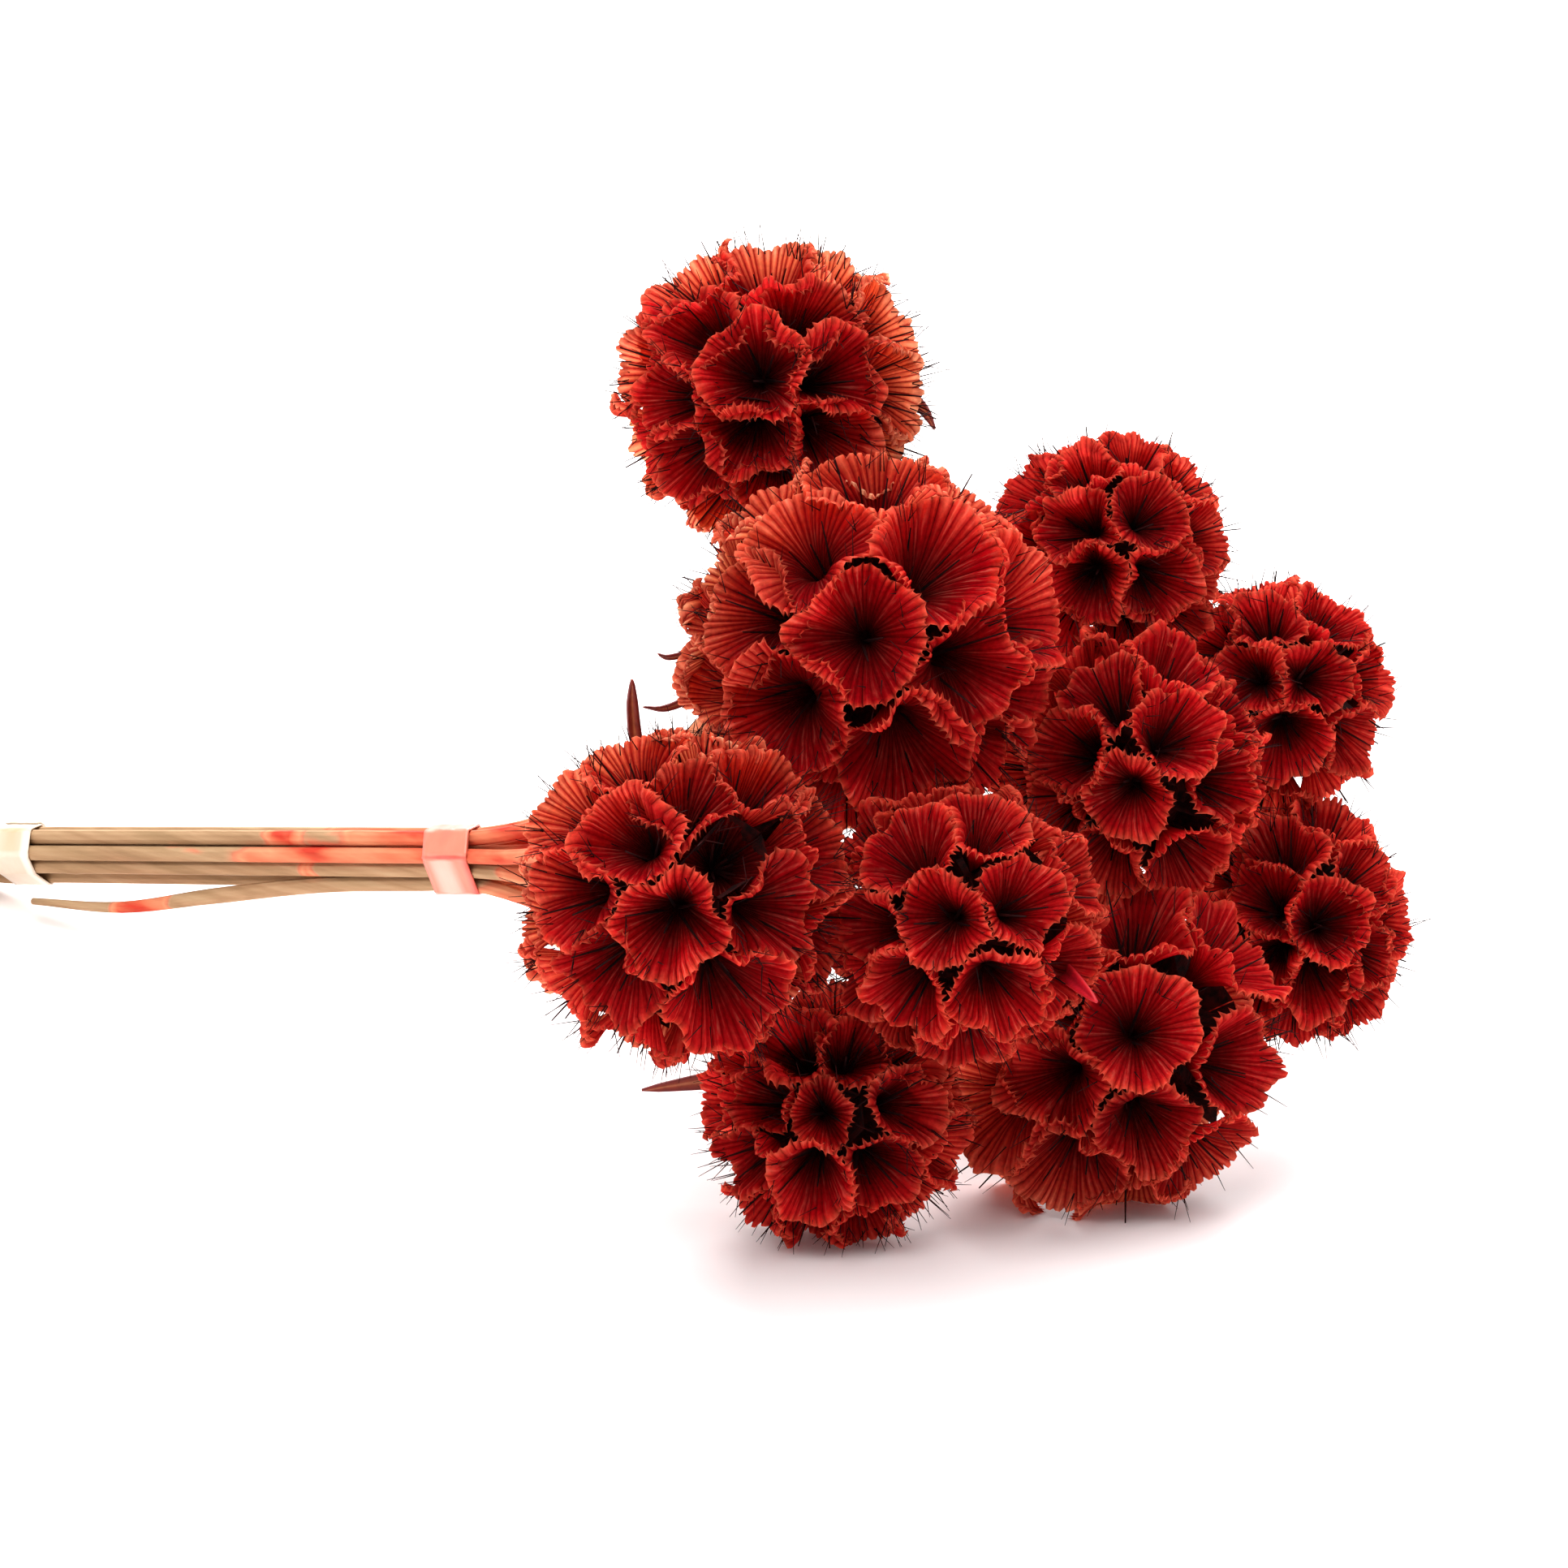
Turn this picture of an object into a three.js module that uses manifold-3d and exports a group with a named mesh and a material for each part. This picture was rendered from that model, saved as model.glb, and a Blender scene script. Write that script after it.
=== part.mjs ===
// A tied bunch of ten dried starflower seed heads, lying on a flat surface.
// Millimetres, +Z up, +X along the stems towards the heads, origin under the middle of the bunch.
import * as THREE from "three";
import { ConvexHull } from "three/addons/math/ConvexHull.js";
import { mergeVertices } from "three/addons/utils/BufferGeometryUtils.js";
import Module from "manifold-3d";

// Driving dimensions
const CUT_END_X = -199.5; // cut end of the longest stem
const CUT_SPREAD = 9; // how much shorter the shortest stem is cut
const TIE_FRONT_X = 70.5; // middle of the strip behind the heads
const TIE_FRONT_Z = 24.8; // height of the bundle's axis there
const TIE_BACK_X = -27; // the same for the strip further down the stems
const TIE_BACK_Z = 7.1;
const TIE_WIDTH = 9;
const TIE_THICKNESS = 0.6;
const GAP = 0.3; // clearance between pieces that touch
const STEM_R_CUT = 1.3; // stem radius at the cut end, at the front tie and under the head
const STEM_R_TIE = 1.1;
const STEM_R_NECK = 0.95;
const STEM_TOP_SHARE = 0.135; // the stem's radius where it carries the head, as a share of the head's
const STEM_STRAIGHT = 5; // the stem's last stretch, straight into the head
const STEM_SIDES = 6;
const SLOT_Y = 1.28; // half the pitch of stems side by side in the bundle
const SLOT_Z = 1.1; // half the pitch of the bundle's layers

// Past the back tie the bundle loosens: places along it, how many times wider the stems lie there than in the
// tie, and the height from one layer to the next. The last row is the cut end.
const LOOSENING = [
  [-66, 1.2, 2.4],
  [-128, 1.7, 2.8],
  [CUT_END_X, 2.3, 3],
];

// Florets, as shares of their head's radius or of the angle to the next floret
const CORE_SHARE = 0.5; // radius of the base that the florets grow from
const THROAT_SHARE = 0.62; // distance of a funnel's bottom from the head's centre
const RIM_SHARE = 0.985; // distance of a rim from the head's centre
const NECK_SHARE = 0.4; // width of a funnel's foot, as a share of its rim
const RIM_SIDES = 8;
const RIM_GAP = 0.6; // between the rims of two neighbours, in millimetres
const RIM_LIMIT_DEG = 26; // no rim spreads further from its axis
const LOWEST_FLORET_DEG = 132; // florets cover the head down to here, measured from its top
const SEEN_SHARE = 0.93; // distance of a rim's middle from the head's centre
const EYE = [592, -457, 208]; // the florets' places are given as they lie seen from here
const LOWEST_RIM_DEG = 151; // rims end here, clear of the bracts
const RIM_CORNER = 0.12; // how much higher a rim stands where it reaches further out
const RIM_WAVE = 0.022; // height of the slow wave round a rim
const BASE_RIM_DEG = 166; // edge of the bare spot that the stem carries

// Bracts
const BRACT_WIDTH = 1.9;
const BRACT_THICKNESS = 0.8;
const BRACT_BEND = 0.62; // how far out it turns towards the head's side, as a share of the head's radius
const BRACT_TAPER = 0.6; // share of its length where it starts to narrow
const BRACT_POINT = 0.24; // width left at its point, as a share

const GOLDEN_ANGLE = Math.PI * (3 - Math.sqrt(5));
const SPIRAL_PLACES = 400;
const radians = THREE.MathUtils.degToRad;
const UP = new THREE.Vector3(0, 0, 1);

const RED = { color: 0xa5261a, roughness: 0.85, metalness: 0 };
const STRAW = { color: 0xbd9f78, roughness: 0.8, metalness: 0 };
const PINK_TAPE = { color: 0xe08a78, roughness: 0.45, metalness: 0 };
const WHITE_TAPE = { color: 0xd9cdbb, roughness: 0.4, metalness: 0 };

// Each flower: the head's centre and radius, where its top points (yaw from +X, pitch up), the florets on the
// side that faces the eye, the least angle between the florets round the rest, the stem's place in the bundle in
// half pitches, the points that the stem passes between the tie and the head, and its bracts, each with its
// direction round the stem and its reach. A floret's place is given across and up, in radii of its head. Florets
// may also stand longer towards one side of the head, which has a direction and a share.
const FLOWERS = [
  {
    at: [128, 4.7, 95.6], radius: 18.4, yaw: -65, pitch: 12, spacing: 31,
    seen: [
      [-0.12, 0.14], [0.37, 0.07], [0.25, 0.5], [-0.17, -0.27], [0.32, -0.32], [-0.5, 0.38], [-0.65, -0.1],
      [0.7, 0.42], [0.77, 0.02], [-0.05, 0.8], [0.47, 0.78], [-0.5, 0.7], [-0.88, 0.18], [-0.52, -0.47],
      [0.02, -0.62], [-0.86, -0.38], [-0.55, -0.75], [0.68, -0.42], [-0.24, -0.82],
    ],
    longer: [[0.71, 0.71, 0, 0.05], [-0.71, -0.71, 0, 0.05]],
    slot: [0.5, 3], way: [[90, 1.6, 34], [104, 11, 44.5], [114.5, 19, 62], [118, 24.5, 82]],
    bracts: [[349, 0.84], [105, 0.95], [165, 0.95], [225, 0.95], [285, 0.95]],
  },
  {
    at: [158, -9, 69.4], radius: 22.6, yaw: -18, pitch: -15, spacing: 31,
    seen: [
      [-0.08, 0.06], [0.5, -0.12], [0.32, 0.44], [-0.32, 0.5], [-0.6, 0.16], [-0.42, -0.32], [0.17, -0.5],
      [0.82, 0.25], [0.84, -0.3], [0.6, -0.62], [-0.22, -0.78], [0.02, 0.85], [0.5, 0.78], [-0.52, 0.76],
      [-0.83, 0.42], [-0.92, 0.02], [-0.82, -0.32], [-0.62, -0.66],
    ],
    slot: [-1.5, 3], way: [[90, -2, 33.2], [106, 2, 41], [121, 3.5, 55], [134, 0, 69]],
    bracts: [[219, 1.1], [209, 0.87], [285, 0.95], [345, 0.95], [30, 0.9]],
  },
  {
    at: [164.5, -47, 46.7], radius: 18.8, yaw: -37, pitch: -8, spacing: 31,
    seen: [
      [-0.06, -0.14], [0.55, -0.1], [0.02, 0.55], [-0.3, 0.4], [-0.65, 0.06], [-0.42, -0.46], [0.28, -0.6],
      [0.76, 0.32], [0.5, 0.66], [0.16, 0.9], [-0.32, 0.8], [-0.68, 0.52], [-0.38, -0.86], [0.1, -0.92],
      [0.88, -0.22], [0.72, -0.55], [-0.86, -0.38],
    ],
    missing: [0.34, 0.3],
    slot: [-2.5, 1], way: [[90, -5.2, 29.8], [116, -13, 38], [138, -26.5, 45.5]],
    bracts: [[101, 1.14], [225, 0.95], [290, 0.95], [345, 0.95]],
  },
  {
    at: [165.3, -22.2, 15.1], radius: 15.5, yaw: -69, pitch: 9, spacing: 30,
    seen: [
      [-0.1, -0.02], [0.55, 0.06], [0.35, -0.47], [-0.18, -0.5], [-0.58, 0.08], [-0.32, 0.48], [0.13, 0.48],
      [-0.68, -0.38], [-0.9, 0.12], [0.9, 0.2], [0.84, -0.3], [-0.16, -0.86], [0.26, -0.84], [-0.54, -0.72],
      [0.54, 0.5], [0, 0.83], [-0.68, 0.5], [0.62, -0.66],
    ],
    longer: [[0.71, 0.71, 0, 0.04]],
    slot: [-1.5, -1], way: [[90, -2.8, 26.2], [116, -3, 23], [140, -2.5, 16.5], [153, -1.5, 12.5]],
    bracts: [[182, 1.75], [120, 0.95], [60, 0.95]],
  },
  {
    at: [182.4, -18.2, 41.2], radius: 15.6, yaw: -51, pitch: 3, spacing: 31,
    seen: [
      [-0.12, 0.03], [0.42, 0.16], [0.15, 0.7], [-0.35, 0.5], [-0.6, -0.03], [-0.35, -0.47], [0.25, -0.5],
      [0.72, -0.33], [0.8, 0.4], [0, -0.87], [0.5, -0.8], [0.6, 0.78], [-0.72, 0.55], [-0.78, -0.42],
      [-0.3, 0.9], [-0.95, 0.12],
    ],
    slot: [-0.5, 1], way: [[90, -0.8, 29.8], [116, 3, 37], [145, 5, 42.5], [163, 2.5, 41.5]],
    bracts: [[333, 0.98], [180, 0.95], [225, 0.95], [265, 0.95]],
  },
  {
    at: [180.2, 12.5, 18.4], radius: 18.8, yaw: -24, pitch: 35, spacing: 33,
    seen: [
      [0.12, 0.15], [0.22, -0.5], [0.76, -0.08], [0.12, 0.78], [0.66, 0.6], [-0.28, -0.66], [-0.68, -0.3],
      [-0.72, -0.66], [-0.38, -0.16], [0.62, -0.7], [-0.34, 0.38], [0.16, -0.93],
    ],
    longer: [[-0.474, -0.672, -0.563, 0.22]],
    slot: [-0.5, -3], way: [[90, -0.4, 22.2], [116, 8, 15], [140, 15.5, 9], [157, 20, 6.5]],
    bracts: [[335, 0.95], [35, 0.95], [90, 0.95], [140, 0.95]],
    rear: [[45, -1.2, 16.6], [22, -2.6, 10.8], [3, -4.2, 5.8], [-17, -5, 3]],
  },
  {
    at: [174, 21.5, 51.7], radius: 15.7, yaw: -15, pitch: 34, spacing: 30,
    seen: [
      [0.33, 0.27], [-0.02, -0.17], [-0.42, 0.12], [-0.17, 0.55], [0.3, 0.78], [0.72, -0.12], [0.82, 0.42],
      [0.42, -0.68], [-0.15, -0.68], [-0.52, -0.34], [0.84, -0.55], [-0.78, 0.42], [-0.86, -0.08],
      [-0.52, 0.8], [-0.04, 0.97],
    ],
    slot: [0.5, -1], way: [[90, 1.4, 26.4], [116, 10, 31], [142, 20, 35], [157, 24.5, 40]],
    bracts: [[30, 0.95], [90, 0.95], [150, 0.95], [210, 0.95], [330, 0.95]],
  },
  {
    at: [159.5, 33.5, 75.4], radius: 14.2, yaw: -70, pitch: -6, spacing: 32,
    seen: [
      [0.32, 0.33], [-0.28, 0.22], [-0.24, 0.68], [0.22, 0.84], [0.4, -0.25], [-0.2, -0.25], [0.8, 0.14],
      [0.86, -0.38], [0.65, 0.62], [-0.7, 0.52], [-0.74, 0], [0.1, -0.7], [0.55, -0.68], [-0.42, -0.66],
    ],
    longer: [[-0.69, -0.57, 0.45, 0.08]],
    slot: [1.5, 1], way: [[90, 4.8, 31.8], [105, 15, 42], [128, 32, 60], [146, 45.5, 73.5]],
    bracts: [[165, 0.95], [210, 0.95], [255, 0.95]],
  },
  {
    at: [172.1, 51.4, 56.5], radius: 13.8, yaw: -53, pitch: 22, spacing: 32,
    seen: [
      [0.33, 0.13], [-0.22, 0.1], [-0.1, 0.62], [0.48, 0.67], [0.84, 0.15], [0.66, -0.42], [0.1, -0.42],
      [0.5, -0.88], [-0.2, 0.97], [-0.6, 0.5], [-0.6, -0.25], [0, -0.9],
    ],
    slot: [2.5, -1], way: [[90, 6, 27.2], [118, 24, 36], [142, 45, 43], [156, 57.5, 47.5]],
    bracts: [[45, 0.95], [105, 0.95], [165, 0.95], [225, 0.95]],
  },
  {
    at: [180, 46.5, 27.9], radius: 14.3, yaw: -55, pitch: 0, spacing: 31,
    seen: [
      [-0.25, 0.16], [0.3, 0.05], [-0.1, 0.6], [0.3, 0.82], [0.58, 0.42], [0.86, 0.12], [0.66, -0.3],
      [0.22, -0.48], [-0.2, -0.27], [0.05, -0.86], [-0.64, -0.1], [-0.6, 0.5], [-0.4, -0.72], [0.56, -0.7],
    ],
    longer: [[0, 0, 1, 0.05], [0, 0, -1, 0.05]],
    slot: [1.5, -3], way: [[90, 4, 22.8], [120, 21, 22.5], [148, 43, 25.5], [163, 55, 27.5]],
    bracts: [[150, 0.95], [210, 0.95], [270, 0.95], [330, 0.95]],
  },
];

const wasm = await Module();
wasm.setup();

// A closed three.js geometry as a solid that can be joined.
function solidOf(geometry) {
  const bare = new THREE.BufferGeometry();
  const loose = geometry.index ? geometry.toNonIndexed() : geometry;
  bare.setAttribute("position", loose.getAttribute("position"));
  const merged = mergeVertices(bare, 1e-4);
  return new wasm.Manifold(
    new wasm.Mesh({
      numProp: 3,
      vertProperties: merged.attributes.position.array,
      triVerts: new Uint32Array(merged.index.array),
    }),
  );
}

// Joins closed geometries into one.
function joined(geometries) {
  const whole = geometries.map(solidOf).reduce((a, b) => a.add(b));
  const { vertProperties, triVerts } = whole.getMesh();
  const geometry = new THREE.BufferGeometry();
  geometry.setAttribute("position", new THREE.BufferAttribute(vertProperties, 3));
  geometry.setIndex(new THREE.BufferAttribute(triVerts, 1));
  return geometry;
}

// The way a head's top points, with two directions square to it.
function axesOf(flower) {
  const yaw = radians(flower.yaw);
  const pitch = radians(flower.pitch);
  const top = new THREE.Vector3(
    Math.cos(pitch) * Math.cos(yaw),
    Math.cos(pitch) * Math.sin(yaw),
    Math.sin(pitch),
  );
  const side = new THREE.Vector3().crossVectors(UP, top).normalize();
  const lift = new THREE.Vector3().crossVectors(top, side);
  return { top, side, lift };
}

// Unit vector at an angle from the top of a head and an angle round it.
function direction(axes, down, round) {
  return new THREE.Vector3()
    .addScaledVector(axes.side, Math.sin(down) * Math.cos(round))
    .addScaledVector(axes.lift, Math.sin(down) * Math.sin(round))
    .addScaledVector(axes.top, Math.cos(down));
}

// The direction of a floret that is seen across and up from the head's middle.
function seenDirection(flower, [across, up]) {
  const towards = new THREE.Vector3(...EYE).sub(new THREE.Vector3(...flower.at)).normalize();
  const right = new THREE.Vector3().crossVectors(UP, towards).normalize();
  const above = new THREE.Vector3().crossVectors(towards, right);
  const out = Math.min(Math.hypot(across, up) / SEEN_SHARE, 1);
  return towards
    .multiplyScalar(Math.sqrt(1 - out * out))
    .add(right.multiplyScalar(across).addScaledVector(above, up).setLength(out));
}

// The seen florets, and then more on the rest of the head: each goes where the widest room is left, out of places
// on a golden-angle spiral, down to the lowest floret.
function floretAxes(flower) {
  const own = axesOf(flower);
  const axes = flower.seen.map((place) => seenDirection(flower, place));
  if (flower.missing) axes.push(seenDirection(flower, flower.missing));
  const span = 1 - Math.cos(radians(LOWEST_FLORET_DEG));
  const places = Array.from({ length: SPIRAL_PLACES }, (_, k) =>
    direction(own, Math.acos(1 - (span * (k + 0.5)) / SPIRAL_PLACES), k * GOLDEN_ANGLE),
  );
  for (;;) {
    const room = places.map((place) => Math.min(...axes.map((axis) => axis.angleTo(place))));
    const widest = Math.max(...room);
    if (widest < radians(flower.spacing)) return axes;
    axes.push(places[room.indexOf(widest)]);
  }
}

// The planes that a floret's rim stays inside: one half-way to each neighbour, and one at the lowest rim.
function limitsOf(own, all, top, gapShare) {
  const limits = all
    .filter((other) => other !== own)
    .map((other) => ({ normal: own.clone().sub(other).normalize(), least: gapShare }));
  limits.push({ normal: top, least: Math.cos(radians(LOWEST_RIM_DEG)) });
  return limits;
}

// How far a rim can spread from its axis in one direction before it meets one of its limits.
function rimReach(own, tangent, limits) {
  let reach = radians(RIM_LIMIT_DEG);
  for (const { normal, least } of limits) {
    const along = normal.dot(own);
    const across = -normal.dot(tangent);
    const size = Math.hypot(along, across);
    const meets = Math.acos(least / size) - Math.atan2(across, along);
    if (across > 0 && meets < reach) reach = meets;
  }
  return reach;
}

// How much longer the florets stand on the side of a head that a direction points to.
function longerTowards(flower, way) {
  return (flower.longer ?? []).reduce((share, [x, y, z, more]) => {
    const towards = Math.max(0, way.dot(new THREE.Vector3(x, y, z)));
    return share + more * towards ** 2;
  }, 1);
}

// One head: a core with funnels standing out of it, each funnel's rim as wide as its neighbours allow.
function headGeometry(flower) {
  const R = flower.radius;
  const core = R * CORE_SHARE;
  const axes = floretAxes(flower);
  const own = axesOf(flower);
  const { top } = own;
  const triangles = [];
  const corePoints = [];
  const floretAt = new Map();
  axes.forEach((axis, number) => {
    const side = new THREE.Vector3().crossVectors(UP, axis).normalize();
    const lift = new THREE.Vector3().crossVectors(axis, side);
    const tangents = Array.from({ length: RIM_SIDES }, (_, j) => {
      const round = (2 * Math.PI * j) / RIM_SIDES + number;
      return side.clone().multiplyScalar(Math.cos(round)).addScaledVector(lift, Math.sin(round));
    });
    const limits = limitsOf(axis, axes, top, RIM_GAP / 2 / R);
    const reaches = tangents.map((t) => rimReach(axis, t, limits));
    const mean = reaches.reduce((a, b) => a + b) / RIM_SIDES;
    const bend = (t, angle) =>
      axis.clone().multiplyScalar(Math.cos(angle)).addScaledVector(t, Math.sin(angle));
    const neck = tangents.map((t) => bend(t, mean * NECK_SHARE).multiplyScalar(core));
    corePoints.push(...neck);
    if (flower.missing && number === flower.seen.length) return;
    neck.forEach((p) => floretAt.set(p, number));
    const rim = tangents.map((t, j) => {
      const corner = RIM_CORNER * (reaches[j] / mean - 1);
      const wave = RIM_WAVE * Math.sin((4 * Math.PI * j) / RIM_SIDES + GOLDEN_ANGLE * number);
      const p = bend(t, reaches[j]);
      const stand = RIM_SHARE + corner + wave;
      p.multiplyScalar(R * stand * longerTowards(flower, p));
      p.z = Math.max(p.z, -flower.at[2]);
      return p;
    });
    const throat = axis.clone().multiplyScalar(R * THROAT_SHARE);
    for (let j = 0; j < RIM_SIDES; j++) {
      const next = (j + 1) % RIM_SIDES;
      triangles.push([neck[j], neck[next], rim[next]]);
      triangles.push([neck[j], rim[next], rim[j]]);
      triangles.push([rim[j], rim[next], throat]);
    }
  });
  for (let j = 0; j < 6; j++) {
    corePoints.push(direction(own, radians(BASE_RIM_DEG), (j * Math.PI) / 3).multiplyScalar(core));
  }
  // The core's skin is the hull of all the funnels' feet, open under each funnel.
  for (const face of new ConvexHull().setFromPoints(corePoints).faces) {
    const first = face.edge;
    const corners = [first.head().point, first.next.head().point, first.next.next.head().point];
    const florets = corners.map((p) => floretAt.get(p));
    const underFunnel = florets[0] !== undefined && florets.every((f) => f === florets[0]);
    if (!underFunnel) triangles.push(corners);
  }
  return new THREE.BufferGeometry().setFromPoints(triangles.flat());
}

// Where the stem's top meets the head, GAP below the core's bare spot.
function stemTop(flower) {
  const { top } = axesOf(flower);
  const depth = flower.radius * CORE_SHARE * -Math.cos(radians(BASE_RIM_DEG)) + GAP;
  return new THREE.Vector3(...flower.at).addScaledVector(top, -depth);
}

// The stem's line: cut end, along the surface, through both ties, then its own way to the head.
function stemLine(flower, number) {
  const y = flower.slot[0] * SLOT_Y;
  const z = flower.slot[1] * SLOT_Z;
  const { top } = axesOf(flower);
  const end = stemTop(flower);
  const rise = (TIE_FRONT_Z - TIE_BACK_Z) / (TIE_FRONT_X - TIE_BACK_X);
  const layer = (flower.slot[1] + 3) / 2;
  const lowest = STEM_R_CUT * Math.cos(Math.PI / STEM_SIDES);
  const cut = CUT_SPREAD * ((number * GOLDEN_ANGLE) / (2 * Math.PI) % 1);
  const loose = LOOSENING.map(([x, wide, high]) => [x, wide * y, lowest + layer * high]).reverse();
  loose[0][0] += cut;
  const onTable = [
    ...loose,
    [TIE_BACK_X - TIE_WIDTH, y, TIE_BACK_Z - rise * TIE_WIDTH + z],
    [TIE_BACK_X + TIE_WIDTH, y, TIE_BACK_Z + rise * TIE_WIDTH + z],
  ];
  const rear = flower.rear ? [...flower.rear].reverse() : onTable;
  const points = [
    ...rear,
    [TIE_FRONT_X - TIE_WIDTH * 0.6, y, TIE_FRONT_Z + z - rise * TIE_WIDTH * 0.6],
    [TIE_FRONT_X + TIE_WIDTH * 0.6, y, TIE_FRONT_Z + z + rise * TIE_WIDTH * 0.6],
    ...flower.way,
  ].map((p) => new THREE.Vector3(...p));
  points.push(end.clone().addScaledVector(top, -STEM_STRAIGHT), end);
  return new THREE.CatmullRomCurve3(points, false, "centripetal");
}

// A closed round bar along a curve, with a section and a radius at each of the given shares of the curve.
function bar(curve, shares, radii) {
  const steps = shares.length - 1;
  const geometry = new THREE.CylinderGeometry(1, 1, 1, STEM_SIDES, steps);
  geometry.deleteAttribute("normal");
  geometry.deleteAttribute("uv");
  const sections = [];
  let across = UP.clone();
  shares.forEach((share, i) => {
    const tangent = curve.getTangent(share);
    across = across.clone().addScaledVector(tangent, -across.dot(tangent)).normalize();
    const beside = new THREE.Vector3().crossVectors(across, tangent);
    sections.push({ at: curve.getPoint(share), across, beside, radius: radii[i] });
  });
  const position = geometry.getAttribute("position");
  for (let i = 0; i < position.count; i++) {
    const section = sections[Math.round((position.getY(i) + 0.5) * steps)];
    const p = section.at
      .clone()
      .addScaledVector(section.across, position.getX(i) * section.radius)
      .addScaledVector(section.beside, position.getZ(i) * section.radius);
    position.setXYZ(i, p.x, p.y, p.z);
  }
  return geometry;
}

// A bract springs from the stem's top, arches out behind the florets and ends in a point. It points at an
// angle round the head, and reaches sideways by a share of the head's radius.
function bractGeometry(flower, round, reach) {
  const R = flower.radius;
  const axes = axesOf(flower);
  const outward = direction(axes, Math.PI / 2, radians(round));
  const rest = reach - BRACT_BEND;
  const arch = [
    [0.02, 0.58],
    [0.33, 0.9],
    [BRACT_BEND, 1.03],
    [BRACT_BEND + rest / 2 + 0.02, 1.05 - 0.175 * rest],
    [reach, 1.03 - 0.35 * rest],
  ];
  const points = arch.map(([out, back]) =>
    new THREE.Vector3(...flower.at)
      .addScaledVector(outward, out * R)
      .addScaledVector(axes.top, -back * R),
  );
  const curve = new THREE.CatmullRomCurve3(points);
  const steps = 4;
  const geometry = new THREE.BoxGeometry(1, 1, 1, 1, 1, steps);
  geometry.deleteAttribute("normal");
  geometry.deleteAttribute("uv");
  const position = geometry.getAttribute("position");
  const wide = new THREE.Vector3().crossVectors(axes.top, outward);
  for (let i = 0; i < position.count; i++) {
    const share = position.getZ(i) + 0.5;
    const tangent = curve.getTangentAt(share);
    const thick = new THREE.Vector3().crossVectors(tangent, wide);
    const taper = share < BRACT_TAPER ? 1 : THREE.MathUtils.mapLinear(share, BRACT_TAPER, 1, 1, BRACT_POINT);
    const p = curve
      .getPointAt(share)
      .addScaledVector(wide, position.getX(i) * BRACT_WIDTH * taper)
      .addScaledVector(thick, position.getY(i) * BRACT_THICKNESS * (0.5 + taper / 2));
    position.setXYZ(i, p.x, p.y, p.z);
  }
  // The box's own axes are x wide, y thick and z along, which is a right-handed set here too.
  return geometry;
}

function stemGeometry(flower, number) {
  const curve = stemLine(flower, number);
  const spans = curve.points.length - 1;
  const freeFrom = spans - flower.way.length - 2;
  // A section at each point of the curve, and one between them where the stem bends its own way.
  const shares = [];
  for (let span = 0; span < spans; span++) {
    shares.push(span / spans);
    if (span >= freeFrom) shares.push((span + 0.5) / spans);
  }
  shares.push(1);
  const tied = freeFrom / spans;
  const radii = shares.map((share) =>
    share < tied
      ? THREE.MathUtils.mapLinear(share, 0, tied, STEM_R_CUT, STEM_R_TIE)
      : THREE.MathUtils.mapLinear(share, tied, 1, STEM_R_TIE, STEM_R_NECK),
  );
  radii[radii.length - 1] = STEM_TOP_SHARE * flower.radius;
  const pieces = [bar(curve, shares, radii)];
  for (const [round, reach] of flower.bracts) pieces.push(bractGeometry(flower, round, reach));
  return joined(pieces);
}

// The outline of the stems side by side, grown by a margin, as a taut strip would lie round them.
function bundleOutline(flowers, margin) {
  const corners = 24;
  return Array.from({ length: corners }, (_, i) => {
    const round = (2 * Math.PI * i) / corners;
    const way = new THREE.Vector2(Math.cos(round), Math.sin(round));
    const slots = flowers.map((f) => new THREE.Vector2(f.slot[0] * SLOT_Y, f.slot[1] * SLOT_Z));
    const outer = slots.reduce((a, b) => (b.dot(way) > a.dot(way) ? b : a));
    return outer.clone().addScaledVector(way, STEM_R_TIE + margin);
  });
}

function tieMesh(name, flowers, x, z, material) {
  const outline = new THREE.Shape(bundleOutline(flowers, GAP + TIE_THICKNESS));
  outline.holes.push(new THREE.Path(bundleOutline(flowers, GAP)));
  const geometry = new THREE.ExtrudeGeometry(outline, { depth: TIE_WIDTH, bevelEnabled: false });
  geometry.translate(0, 0, -TIE_WIDTH / 2);
  const mesh = new THREE.Mesh(geometry, new THREE.MeshStandardMaterial(material));
  mesh.name = name;
  const slope = Math.atan2(TIE_FRONT_Z - TIE_BACK_Z, TIE_FRONT_X - TIE_BACK_X);
  const along = new THREE.Vector3(Math.cos(slope), 0, Math.sin(slope));
  const across = new THREE.Vector3(0, 1, 0);
  const lift = new THREE.Vector3().crossVectors(along, across);
  mesh.quaternion.setFromRotationMatrix(new THREE.Matrix4().makeBasis(across, lift, along));
  mesh.position.set(x, 0, z);
  return mesh;
}

function named(name, geometry, look) {
  const mesh = new THREE.Mesh(geometry, new THREE.MeshStandardMaterial(look));
  mesh.name = name;
  return mesh;
}

const bunch = new THREE.Group();
FLOWERS.forEach((flower, i) => {
  const label = String(i + 1).padStart(2, "0");
  const head = named(`head_${label}`, headGeometry(flower), RED);
  head.position.set(...flower.at);
  bunch.add(head, named(`stem_${label}`, stemGeometry(flower, i), STRAW));
});
const throughBoth = FLOWERS.filter((flower) => !flower.rear);
bunch.add(
  tieMesh("tie_front", FLOWERS, TIE_FRONT_X, TIE_FRONT_Z, PINK_TAPE),
  tieMesh("tie_back", throughBoth, TIE_BACK_X, TIE_BACK_Z, WHITE_TAPE),
);

// The origin moves under the middle of the bunch, on the surface that it lies on.
const box = new THREE.Box3().setFromObject(bunch);
const origin = box.getCenter(new THREE.Vector3()).setZ(box.min.z);
bunch.children.forEach((mesh) => mesh.position.sub(origin));

export default bunch;
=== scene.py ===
import math

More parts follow.
